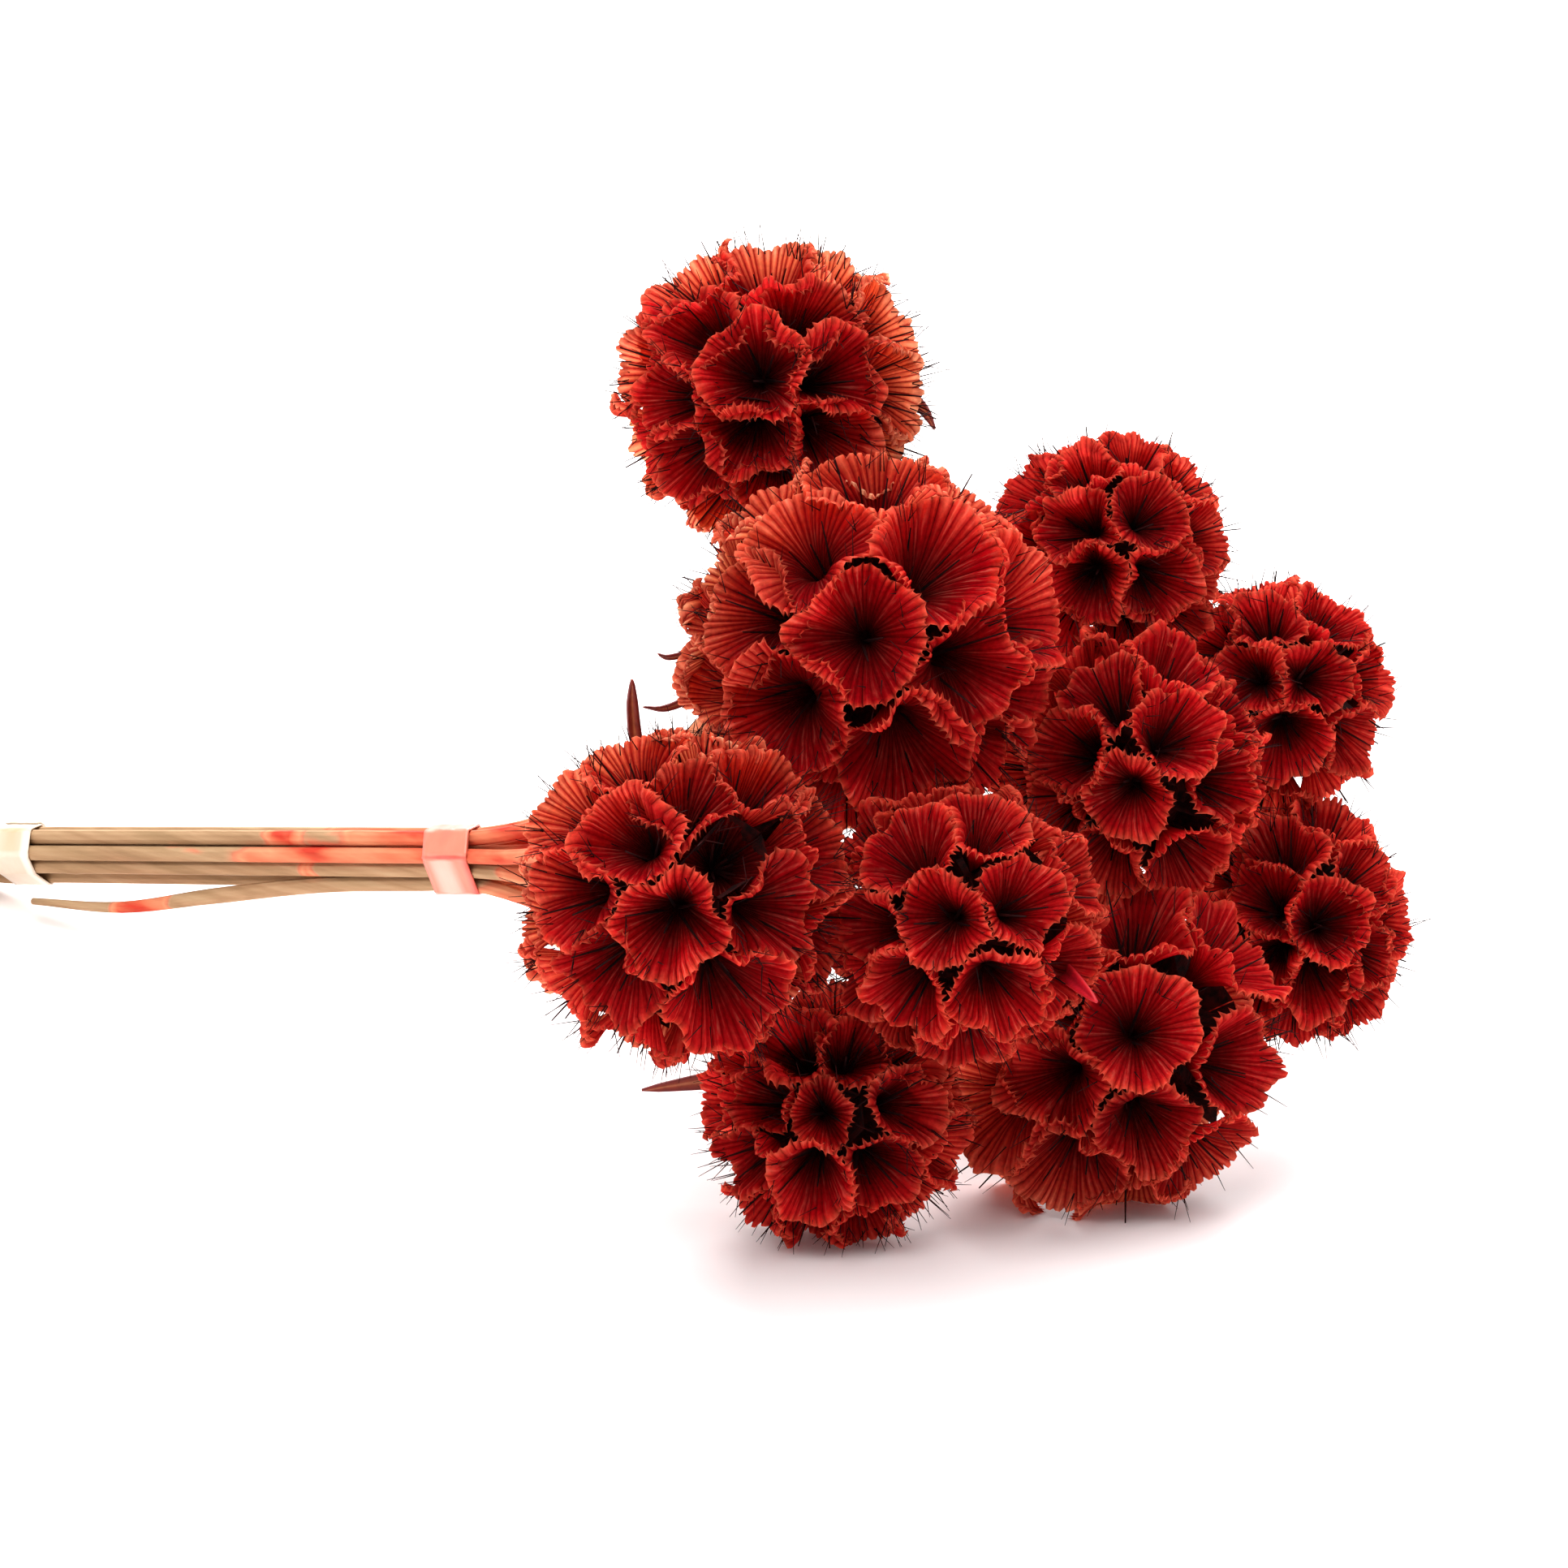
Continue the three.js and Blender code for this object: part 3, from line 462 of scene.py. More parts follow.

# Heads of papery florets, with what belongs to each flower. Lengths are in millimetres, angles in degrees.
#   at, radius, yaw, pitch: the head's centre and size, and where its top points
#   seen, missing: florets that face the eye and one that broke off, across and up in hundredths of a radius
#   spacing: the least angle between the florets that fill the rest of the head
#   open, full: how far the funnels open, and how much of their room they fill
#   ribs, strays: the ribs and the stray hairs of each floret
#   pale, behind: how pale the outer florets are painted, as light shining through them, and how much lower
#       the unseen ones stand, in radii
#   longer: directions in which the head is larger, and by how much
#   slot, way: the stem's place in the bundle, and its way from there to the head
#   rear, taper: the way of a stem's loose end, how thin it starts, and how far it is thinner
#   dyeFrom, splash: where along x the stem is dyed
#   bracts, petal: the angle of each bract and, where unusual, its reach, sway and width; which one is crimson
flowers = [
    dict(
        at=(128, 4.7, 95.6), radius=18.4, yaw=-65, pitch=12, spacing=31,
        open=0.25, full=1.03, ribs=42, strays=20, pale=1.6,
        longer=[(0.71, 0.71, 0, 0.05), (-0.71, -0.71, 0, 0.05)],
        seen=[
            (-12, 14), (37, 7), (25, 50), (-17, -27), (32, -32), (-50, 38), (-65, -10), (70, 42), (77, 2),
            (-5, 80), (47, 78), (-50, 70), (-88, 18), (-52, -47), (2, -62), (-86, -38), (-55, -75),
            (68, -42), (-24, -82),
        ],
        dyeFrom=44, slot=(0.5, 3), way=[(90, 1.6, 34), (104, 11, 44.5), (114.5, 19, 62), (118, 24.5, 82)],
        bracts=[(349, 0.88, (0, 0, 3.2), 0.9), (105,), (165,), (225,), (285,)],
    ),
    dict(
        at=(158, -9, 69.4), radius=22.6, yaw=-18, pitch=-15, spacing=31,
        open=0.62, full=1.05, ribs=46, strays=13, pale=0.5,
        seen=[
            (-8, 6), (50, -12), (32, 44), (-32, 50), (-60, 16), (-42, -32), (17, -50), (82, 25), (84, -30),
            (60, -62), (-22, -78), (2, 85), (50, 78), (-52, 76), (-83, 42), (-92, 2), (-82, -32),
            (-62, -66),
        ],
        dyeFrom=50, splash=(32.4, 42.7), slot=(-1.5, 3),
        way=[(90, -2, 33.2), (106, 2, 41), (121, 3.5, 55), (134, 0, 69)],
        bracts=[(219, 1.1, (0, 0, -7), 0.6), (209, 0.87, (0, 0, -3.6), 0.5), (285,), (345,), (30, 0.9)],
    ),
    dict(
        at=(164.5, -47, 46.7), radius=18.8, yaw=-37, pitch=-8, spacing=31,
        open=0.42, full=1.03, ribs=42, strays=20, pale=0.55, behind=0.1,
        missing=(34, 30), longer=[(0.56, 0.72, 0.44, 0.06)],
        seen=[
            (-6, -14), (55, -10), (2, 55), (-30, 40), (-65, 6), (-42, -46), (28, -60), (76, 32), (50, 66),
            (16, 90), (-32, 80), (-68, 52), (-33, -87), (17, -92), (88, -22), (64, -67), (-92, -16),
            (-74, -58),
        ],
        dyeFrom=28.5, slot=(-2.5, 1), way=[(90, -5.2, 29.8), (116, -13, 38), (138, -26.5, 45.5)],
        bracts=[(101, 1.14, (-0.55, -0.55, 0), 0.75), (225,), (290,), (345,)],
    ),
    dict(
        at=(165.3, -22.2, 15.1), radius=15.5, yaw=-69, pitch=9, spacing=30,
        open=0.25, full=0.98, ribs=36, strays=15,
        longer=[(0.71, 0.71, 0, 0.04)],
        seen=[
            (-10, -2), (55, 6), (35, -47), (-18, -50), (-58, 8), (-32, 48), (13, 48), (-68, -38), (-90, 12),
            (90, 20), (84, -30), (-16, -86), (26, -84), (-54, -72), (54, 50), (0, 83), (-68, 50), (62, -66),
        ],
        dyeFrom=84, splash=(42.5, 45), slot=(-1.5, -1),
        way=[(90, -2.8, 26.2), (116, -3, 23), (140, -2.5, 16.5), (153, -1.5, 12.5)],
        bracts=[(184, 1.93, (0, 0, 2.4), 1.3), (120,), (60,)],
    ),
    dict(
        at=(182.4, -18.2, 41.2), radius=15.6, yaw=-51, pitch=3, spacing=31,
        open=0.4, full=1.0, ribs=40, strays=10, behind=0.0,
        longer=[(0.71, 0.71, 0, 0.05), (-0.67, -0.47, 0.58, 0.09)],
        seen=[
            (-12, 3), (42, 16), (15, 70), (-35, 50), (-60, -3), (-35, -47), (25, -50), (72, -33), (80, 40),
            (0, -87), (50, -80), (60, 78), (-72, 55), (-78, -42), (-30, 90), (-95, 12),
        ],
        dyeFrom=40, petal=0, slot=(-0.5, 1),
        way=[(90, -0.8, 29.8), (116, 3, 37), (145, 5, 42.5), (163, 2.5, 41.5)],
        bracts=[(326, 1.18, (17.5, -19.5, 6)), (180,), (225,), (265,)],
    ),
    dict(
        at=(180.2, 12.5, 18.4), radius=18.8, yaw=-24, pitch=35, spacing=33,
        open=0.55, full=1.04, ribs=46, strays=8, pale=0.3, behind=0.12,
        longer=[(-0.474, -0.672, -0.563, 0.22), (0.38, 0.62, 0.68, 0.1)],
        seen=[
            (12, 15), (22, -50), (76, -8), (12, 78), (66, 60), (-28, -66), (-68, -30), (-72, -66),
            (-38, -16), (57, -66), (-34, 38), (14, -90),
        ],
        dyeFrom=78, splash=(2, 15), slot=(-0.5, -3),
        way=[(90, -0.4, 22.2), (116, 8, 15), (140, 15.5, 9), (157, 20, 6.5)],
        taper=(0.4, 24), rear=[(-17, -5, 3), (3, -4.2, 5.8), (22, -2.6, 10.8), (45, -1.2, 16.6)],
        bracts=[(335,), (35,), (90,), (140,)],
    ),
    dict(
        at=(174, 21.5, 51.7), radius=15.7, yaw=-15, pitch=34, spacing=30,
        open=0.25, full=0.99, ribs=38, strays=9, behind=0.0,
        longer=[(-0.61, -0.38, 0.68, 0.13), (-0.61, -0.61, -0.5, 0.06), (0, 0, -1, 0.07)],
        seen=[
            (33, 27), (-2, -17), (-42, 12), (-17, 55), (30, 78), (72, -12), (82, 42), (42, -68), (-15, -68),
            (-52, -34), (84, -55), (-78, 42), (-86, -8), (-52, 80), (-4, 97),
        ],
        dyeFrom=55, slot=(0.5, -1), way=[(90, 1.4, 26.4), (116, 10, 31), (142, 20, 35), (157, 24.5, 40)],
        bracts=[(30,), (90,), (150,), (210,), (330,)],
    ),
    dict(
        at=(159.5, 33.5, 75.4), radius=14.2, yaw=-70, pitch=-6, spacing=32,
        open=0.3, full=1.03, ribs=40, strays=11, behind=0.06,
        longer=[(-0.69, -0.57, 0.45, 0.08), (0, 0, -1, 0.1)],
        seen=[
            (32, 33), (-28, 22), (-24, 68), (22, 84), (40, -25), (-20, -25), (80, 14), (86, -38), (65, 62),
            (-70, 52), (-74, 0), (10, -70), (55, -68), (-42, -66),
        ],
        dyeFrom=48, slot=(1.5, 1), way=[(90, 4.8, 31.8), (105, 15, 42), (128, 32, 60), (146, 45.5, 73.5)],
        bracts=[(165,), (210,), (255,)],
    ),
    dict(
        at=(172.1, 51.4, 56.5), radius=13.8, yaw=-53, pitch=22, spacing=32,
        open=0.25, full=1.02, ribs=38, strays=11, behind=0.05,
        longer=[(0, 0, -1, 0.17)],
        seen=[
            (33, 13), (-22, 10), (-10, 62), (48, 67), (84, 15), (66, -42), (10, -42), (50, -88), (-20, 97),
            (-60, 50), (-60, -25), (0, -90),
        ],
        dyeFrom=58, slot=(2.5, -1), way=[(90, 6, 27.2), (118, 24, 36), (142, 45, 43), (156, 57.5, 47.5)],
        bracts=[(45,), (105,), (165,), (225,)],
    ),
    dict(
        at=(180, 46.5, 27.9), radius=14.3, yaw=-55, pitch=0, spacing=31,
        open=0.22, full=1.02, ribs=38, strays=11, behind=0.05,
        longer=[(0, 0, 1, 0.11), (0, 0, -1, 0.05)],
        seen=[
            (-25, 16), (30, 5), (-10, 60), (30, 82), (58, 42), (86, 12), (66, -30), (22, -48), (-20, -27),
            (5, -86), (-64, -10), (-60, 50), (-40, -72), (56, -70),
        ],
        dyeFrom=47, slot=(1.5, -3), way=[(90, 4, 22.8), (120, 21, 22.5), (148, 43, 25.5), (163, 55, 27.5)],
        bracts=[(150,), (210,), (270,), (330,)],
    ),
]
floret = dict(
    eye=(592, -457, 208), seenShare=0.93,  # the places above are given as they lie seen from here
    spiralPlaces=400,  # places that are tried for the florets that aren't seen
    lowestFloret=132, lowestRim=151, widestRim=21.5,  # degrees, as the solids have them
    nearPlane=0.02, noPlane=9,  # radians: a plane nearer than the first counts as far as the second
    roundness=13,  # how sharply a rim turns its corners
    overlap=0.11,  # how far a floret that stands higher may spread over the next, in radii
    winding=0.09, windTurns=12,  # how far the ridges between florets wind, and how tightly
    outlineWaves=((5, 0.05), (13, 0.02)),  # how many waves a rim's outline has, and how deep they are
    fills=(0.95, 1.02), reaches=(0.72, 1.25),  # how much of its room a rim takes, its least and widest
    throat=0.52, rim=0.99, stump=0.74,  # how far from the centre these lie, in radii
    standing=0.05, behind=0.11,  # how far up or down a floret stands, and how far down an unseen one
    pressed=0.12, mostPressed=0.3,  # how much a wall that a neighbour presses stands up
    shoulder=0.6,  # radians from the top, from which funnels open wider and rims lie calmer
    opensDown=0.25, calmDown=0.65, opensWithRoom=0.9, opensByChance=0.2,
    ruffle=0.048, ruffleWaves=((3, 1), (7, 0.7)),  # the waves that lift and sink a rim, in radii
    tilt=0.34,  # how far the throat leans aside, in the rim's reach
    wander=0.3, pleatPlaces=(0, 0.27, 0.73),  # how far ribs stray and folds lie, in ribs' widths
    pleat=0.15, crimp=0.36,  # depth of the folds in the wall and in the lip, in ribs' widths
    foldChance=(0.45, 1.5), foldOut=0.6,  # how deep each fold is, and how far it swells between ribs
    lip=0.8, lipInside=0.8,  # millimetres of rim that bend outwards, and their share within its reach
    lipChance=(0.75, 1.2), lipWave=0.35,
    tooth=0.38, notch=0.12,  # millimetres that ribs stand out of the rim, and that it dips between them
    toothChance=(0.3, 1.5), ragged=0.26,
    lipShade=0.84, stumpShade=0.4,  # the lip's start in the paper's colours, where the painted highlight on the rim begins, and how dark the stump is painted, as shade in the hole it leaves
    palesDown=(1.0, 1.85), pale=0.12,  # radians from the top in which florets turn paler, painted light shining through them, and how far
    aboveFloor=0.12, seed=40,
)
# the wall from throat to rim, narrow as a trumpet and wide as a cup, and the lip that rolls over from its end
trumpetShare, trumpetHeight = (0, 0.1, 0.24, 0.42, 0.62, 0.82, 1), (0, 0.2, 0.42, 0.6, 0.75, 0.88, 1)
cupShare, cupHeight = (0, 0.34, 0.6, 0.78, 0.89, 0.96, 1), (0, 0.05, 0.17, 0.35, 0.57, 0.79, 1)
lipOut, lipUp = (0.36, 0.7, 1.0), (0.4, 0.66, 0.72)
wallRows, lipRows = len(cupShare), len(lipOut)
upwards = np.array([0.0, 0, 1])


def sidesOf(axis):  # the level and the rising direction square to it
    side = unit(np.cross(upwards, axis))
    return side, np.cross(axis, side)


def axesOf(flower):
    yaw, pitch = math.radians(flower["yaw"]), math.radians(flower["pitch"])
    top = np.array([math.cos(pitch) * math.cos(yaw), math.cos(pitch) * math.sin(yaw), math.sin(pitch)])
    return top, *sidesOf(top)


def seenDirection(flower, across, up):
    towards = unit(np.array(floret["eye"]) - np.array(flower["at"]))
    right, above = sidesOf(towards)
    across, up = across / 100, up / 100
    out = min(math.hypot(across, up) / floret["seenShare"], 1)
    return towards * math.sqrt(1 - out * out) + out * unit(across * right + up * above)


def floretAxes(flower):
    # the seen florets first, then each next one where the widest room is left
    top, side, lift = axesOf(flower)
    axes = [seenDirection(flower, *place) for place in flower["seen"]]
    if "missing" in flower:
        axes.append(seenDirection(flower, *flower["missing"]))
    step = np.arange(floret["spiralPlaces"])
    span = 1 - math.cos(math.radians(floret["lowestFloret"]))
    down = np.arccos(1 - span * (step + 0.5) / len(step))[:, None]
    around = (step * math.pi * (3 - math.sqrt(5)))[:, None]
    places = np.sin(down) * (np.cos(around) * side + np.sin(around) * lift) + np.cos(down) * top
    while True:
        room = np.arccos(np.clip(places @ np.array(axes).T, -1, 1)).min(1)
        if room.max() < math.radians(flower["spacing"]):
            return np.array(axes)
        axes.append(places[room.argmax()])


def rimReach(own, tangents, others, leasts):
    # how far the rim may spread in each direction before it meets the planes half-way to its neighbours
    normals = unit(own - others)
    along = normals @ own
    across = -(tangents @ normals.T)
    size = np.hypot(along, across)
    meets = np.arccos(np.clip(leasts / size, -1, 1)) - np.arctan2(across, along)
    isMet = (across > 0) & (size > -leasts) & (meets > floret["nearPlane"])
    meets = np.where(isMet, meets, floret["noPlane"])
    meets = np.column_stack([meets, np.full(len(tangents), math.radians(floret["widestRim"]))])
    power = floret["roundness"]
    return (meets ** -power).sum(1) ** (-1 / power)


def wavesOf(waves, angle, phases):
    return sum(size * np.sin(count * angle + phase) for (count, size), phase in zip(waves, phases))


def longerTowards(flower, ways):
    share = np.ones(ways.shape[:-1])
    for x, y, z, more in flower.get("longer", ()):
        share += more * np.clip(ways @ (x, y, z), 0, None) ** 2
    return share


def makeHead(number, flower, chance):
    radius, ribs = flower["radius"], flower["ribs"]
    columns, rows = 3 * ribs, wallRows + lipRows - 1
    axes = floretAxes(flower)
    top = axesOf(flower)[0]
    centre = np.array(flower["at"])
    sheet, column, row = addSheet("floretSheet", columns, rows)
    bpy.ops.object.shade_smooth()
    steps = np.arange(columns + 1)
    isRib = steps % 3 == 0
    rib = steps // 3 % ribs
    ribPlace = steps // 3 + np.array(floret["pleatPlaces"])[steps % 3]
    lipShade = floret["lipShade"]
    shade = np.concatenate([np.linspace(0, lipShade, wallRows), np.linspace(lipShade, 1, lipRows + 1)[1:]])
    paleFrom, paleTo = floret["palesDown"]
    standing = chance.uniform(-1, 1, len(axes))
    windWays = floret["windTurns"] * unit(chance.normal(size=(3, 3))).T
    windPhase = chance.uniform(0, 2 * math.pi, 3)
    pieces = []
    for k, axis in enumerate(axes):
        broken = "missing" in flower and k == len(flower["seen"])
        side, lift = sidesOf(axis)
        wander = np.append(floret["wander"] * chance.uniform(-1, 1, ribs), 0)
        wander[0] = 0
        angle = 2 * math.pi * (ribPlace + np.interp(ribPlace, np.arange(ribs + 1), wander)) / ribs
        tangents = np.cos(angle)[:, None] * side + np.sin(angle)[:, None] * lift
        ahead = np.clip(standing[k] - np.delete(standing, k), 0, 1)
        # the plane below the lowest rims counts as one more neighbour, straight down the stem
        leasts = np.append(-floret["overlap"] * ahead, math.cos(math.radians(floret["lowestRim"])))
        others = np.vstack([np.delete(axes, k, 0), axis - top])
        # the ridges between two florets wind a little, both rims by the same amount
        near = rimReach(axis, tangents, others, leasts)[:, None]
        meeting = np.cos(near) * axis + np.sin(near) * tangents
        winding = floret["winding"] * np.sin(meeting @ windWays + windPhase)
        reach = rimReach(axis, tangents, others, leasts + winding @ unit(axis - others).T)
        phase = chance.uniform(0, 2 * math.pi, 6)
        reach *= 1 + wavesOf(floret["outlineWaves"], angle, phase[[0, 3]])
        reach *= flower["full"] * chance.uniform(*floret["fills"])
        least, widest = floret["reaches"]
        reach = np.clip(reach, least * reach.mean(), widest * reach.mean())
        openness = np.clip(reach / reach.mean() - 1, -1, floret["mostPressed"])
        lip = floret["lip"] / radius * chance.uniform(*floret["lipChance"])
        lip = lip * (1 + floret["lipWave"] * np.sin(2 * angle + phase[4]))
        wallReach = reach - floret["lipInside"] * lip
        # the florets around the stem open wider than those on top
        down = math.acos(np.clip(axis @ top, -1, 1)) - floret["shoulder"]
        calm = 1 - floret["calmDown"] * np.clip(down / floret["shoulder"], 0, 1)
        opened = flower["open"] + floret["opensDown"] * np.clip(down, 0, 1)
        opened = opened + floret["opensWithRoom"] * openness
        opened = np.clip(opened + floret["opensByChance"] * chance.uniform(-1, 1), 0, 1)
        share = np.outer(cupShare, 1 - opened) + np.outer(trumpetShare, opened)
        rise = np.outer(cupHeight, 1 - opened) + np.outer(trumpetHeight, opened)
        rimHeight = floret["rim"] - floret["pressed"] * openness + floret["standing"] * standing[k] * calm
        if k >= len(flower["seen"]):
            rimHeight -= flower.get("behind", floret["behind"])
        if broken:  # only a short stump is left of it, painted dark as the shade in the hole it leaves
            rimHeight = np.full(columns + 1, floret["stump"])
        wave = floret["ruffle"] * calm * wavesOf(floret["ruffleWaves"], angle, phase[[1, 2]])
        up = np.linspace(0, 1, wallRows)[:, None]
        bend = share * wallReach
        height = floret["throat"] + (rimHeight - floret["throat"]) * rise + wave * up**3
        bend = np.vstack([bend, bend[-1] + np.outer(lipOut, lip)])
        height = np.vstack([height, height[-1] + np.outer(lipUp, lip)])
        # the folds stand square to the wall and the lip
        inward, outward = -np.gradient(height, axis=0), np.gradient(bend, axis=0) * height
        size = np.hypot(inward, outward) + 1e-9
        ribWidth = 2 * math.pi * reach.mean() / ribs
        foldChance = chance.uniform(*floret["foldChance"], ribs)[rib]
        depth = np.concatenate([floret["pleat"] * up[:, 0] ** 1.5, np.full(lipRows, floret["crimp"])])
        fold = (depth * ribWidth)[:, None] * np.where(isRib, -1, floret["foldOut"]) * foldChance
        uneven = chance.uniform(-1, 1, ribs)
        height[wallRows - 1:] += (uneven + np.roll(uneven, 1))[rib] * floret["ragged"] / radius
        bend = bend + fold * inward / size
        height = height + fold * outward / size
        teeth = chance.uniform(*floret["toothChance"], columns + 1)
        bend[-1] += np.where(isRib, floret["tooth"], -floret["notch"]) * teeth / radius
        for values in (bend, height):
            values[:, -1] = values[:, 0]
        ways = np.cos(bend)[..., None] * axis + np.sin(bend)[..., None] * tangents
        grid = radius * (height * longerTowards(flower, ways))[..., None] * ways
        lean = chance.uniform(-1, 1, 2) * floret["tilt"] * reach.mean()
        stay = np.concatenate([share, np.ones((lipRows, columns + 1))])
        grid += (1 - stay[..., None]) * radius * floret["throat"] * (lean[0] * side + lean[1] * lift)
        points = grid[row, column] + centre
        points[:, 2] = np.maximum(points[:, 2], floret["aboveFloor"])
        # the florets further down from the head's top are painted paler, as light shining through them
        thin = (np.arccos(np.clip(unit(points - centre) @ top, -1, 1)) - paleFrom) / (paleTo - paleFrom)
        thin = np.minimum(np.clip(thin, 0, 1) * flower.get("pale", floret["pale"]), 1)
        copy = copyOf(sheet)
        # a stump's colours are pulled towards the throat's dark ones: painted shade in the hole it leaves
        shown = shade[row] * (floret["stumpShade"] if broken else 1)
        # the floret's standing gives it its tone and a painted shade when it stands low
        bendSheet(copy, points, ribPlace[column], shown, tone=standing[k], thin=thin)
        pieces.append(copy)
    bpy.data.objects.remove(sheet)
    papery = joinAs("papery", pieces)
    paint(papery, paperFinish)
    core = makeCore(flower, axes)
    bristles = makeBristles(flower, axes, chance)
    whole = joinAs(f"flowerHead_{number:02d}", [papery, core, bristles], weld=0)
    dress(whole, f"head_{number:02d}")
    print(whole.name, len(axes), "florets", len(whole.data.polygons), "faces")


# The base that the florets grow from, and the dry scales that stand between two florets, below their rims;
# being dark, they also paint the shade in the gaps between the florets
base = dict(
    radius=0.53, scaleFoot=0.5, scaleTop=0.84,  # in radii of the head
    widestPair=52, halfWay=24,  # degrees between two florets with a scale, and how far it is looked for
    samples=61, fewest=3,  # places that are tried along a scale, and how many of them it needs
    aboveFloor=0.2,
)


def makeCore(flower, axes):
    centre = np.array(flower["at"])
    bpy.ops.object.select_all(action="DESELECT")
    size = flower["radius"] * base["radius"] / 1000
    bpy.ops.mesh.primitive_ico_sphere_add(subdivisions=3, radius=size, location=inFrame(centre))
    bpy.ops.object.shade_smooth()
    pieces = [bpy.context.object]
    sheet, column, row = addSheet("scaleSheet", 1, 1)
    turn = np.radians(np.linspace(-base["halfWay"], base["halfWay"], base["samples"]))[:, None]
    for i, j in ((i, j) for j in range(len(axes)) for i in range(j)):
        if axes[i] @ axes[j] < math.cos(math.radians(base["widestPair"])):
            continue
        middle, across = unit(axes[i] + axes[j]), unit(np.cross(axes[i], axes[j]))
        ways = np.cos(turn) * middle + np.sin(turn) * across
        free = (ways @ axes.T).max(1) < ways @ axes[i] + 1e-6
        if free.sum() < base["fewest"]:
            continue
        ends = ways[free][[0, -1]]
        share = np.where(row == 0, base["scaleFoot"], base["scaleTop"])[:, None]
        points = flower["radius"] * share * ends[column] + centre
        points[:, 2] = np.maximum(points[:, 2], base["aboveFloor"])
        copy = copyOf(sheet)
        moveVertices(copy, points)
        pieces.append(copy)
    bpy.data.objects.remove(sheet)
    core = joinAs("core", pieces, weld=0)
    paint(core, coreFinish)
    return core


bristle = dict(
    each=5, inGap=16, spread=0.4,  # how many in a floret and in the gap, and how unevenly they stand
    width=0.28, tipShare=0.35, footAside=0.02, lean=(0.08, 0.28),
    inside=(0.84, 0.98), outside=(1.03, 1.13), outsideShare=0.3, gapShare=0.8,  # reach in radii
    strayWidth=0.1, strayLength=(1.4, 3.6), strayDeep=0.06,
    strayFoot=0.95, strayAside=0.3, strayLean=0.9, strayWander=0.55,
    aboveFloor=0.1,
)


def makeBristles(flower, axes, chance):
    radius, centre = flower["radius"], np.array(flower["at"])
    bpy.ops.object.select_all(action="DESELECT")
    bpy.ops.mesh.primitive_cone_add(
        vertices=3, radius1=1, radius2=bristle["tipShare"], depth=1, end_fill_type="NOTHING"
    )
    cone = bpy.context.object
    co = verticesOf(cone)
    pieces = []

    def grow(foot, tip, out, width):  # in radii of the head, from its centre
        line = tip - foot
        across = unit(np.cross(line, out + 0.01))
        third = unit(np.cross(line, across))
        girth = (co[:, 0:1] * across + co[:, 1:2] * third) * width / radius
        points = (foot + (co[:, 2:3] + 0.5) * line + girth) * radius + centre
        points[:, 2] = np.maximum(points[:, 2], bristle["aboveFloor"])
        copy = copyOf(cone)
        moveVertices(copy, points)
        pieces.append(copy)

    for k, axis in enumerate(axes):
        side, lift = sidesOf(axis)
        longer = float(longerTowards(flower, axis))
        start = 2 * math.pi * chance.random()
        gap = "missing" in flower and k == len(flower["seen"])
        for j in range(bristle["inGap"] if gap else bristle["each"]):
            turn = start + 2 * math.pi * (j + bristle["spread"] * chance.random()) / bristle["each"]
            out = math.cos(turn) * side + math.sin(turn) * lift
            lean = chance.uniform(*bristle["lean"])
            isOutside = chance.random() < bristle["outsideShare"]
            reach = chance.uniform(*bristle["outside" if isOutside else "inside"])
            reach *= bristle["gapShare"] if gap else 1
            foot = (axis * base["radius"] + out * bristle["footAside"]) * longer
            grow(foot, unit(axis + math.tan(lean) * out) * reach * longer, out, bristle["width"])
        for j in range(0 if gap else flower["strays"]):
            turn = 2 * math.pi * chance.random()
            out = math.cos(turn) * side + math.sin(turn) * lift
            foot = unit(axis + bristle["strayAside"] * out) * bristle["strayFoot"] * longer
            way = axis + bristle["strayLean"] * out * chance.random()
            way = unit(way + bristle["strayWander"] * chance.uniform(-1, 1, 3))
            length = bristle["strayDeep"] + chance.uniform(*bristle["strayLength"]) / radius
            grow(foot, foot + way * length, out, bristle["strayWidth"])
    bpy.data.objects.remove(cone)
    bristles = joinAs("bristles", pieces, weld=0)
    paint(bristles, bristleFinish)
    return bristles


for number, flower in enumerate(flowers, 1):
    makeHead(number, flower, np.random.default_rng(floret["seed"] + number))
print("heads made")


# Stems and bracts.
stem = dict(
    slotY=1.28, slotZ=1.1, tieWidth=9, tieHold=0.6,  # spacing in the bundle, and where it is held
    # the free ends: the cut and two places along x, and how far the stems fan out and layers part there
    cutEnd=-199.5, cutSpread=9, fanX=(-128, -66), fan=((2.3, 3), (1.7, 2.8), (1.2, 2.4)),
    lowest=1.3 * math.cos(math.pi / 6),  # where the lowest one's middle lies
    cutRadius=1.27, tieRadius=1.08, neckRadius=0.93, topShare=0.135,
    topDepth=0.5 * -math.cos(math.radians(166)), topGap=0.3, neck=5,  # how deep it ends in the head
    joints=(-190, 55), jointSwell=0.12, jointLength=1.6,  # where pairs of leaves were stripped
    hollow=0.5, hollowShare=0.62,  # depth of the hollow cut end, and its width in the stem's
    dye=0.8, dyeBlur=5, splashBlur=2, dyeTrace=0.25, dyeFade=25,
    sides=10, step=3.2, aboveFloor=0.02, seed=80,
)


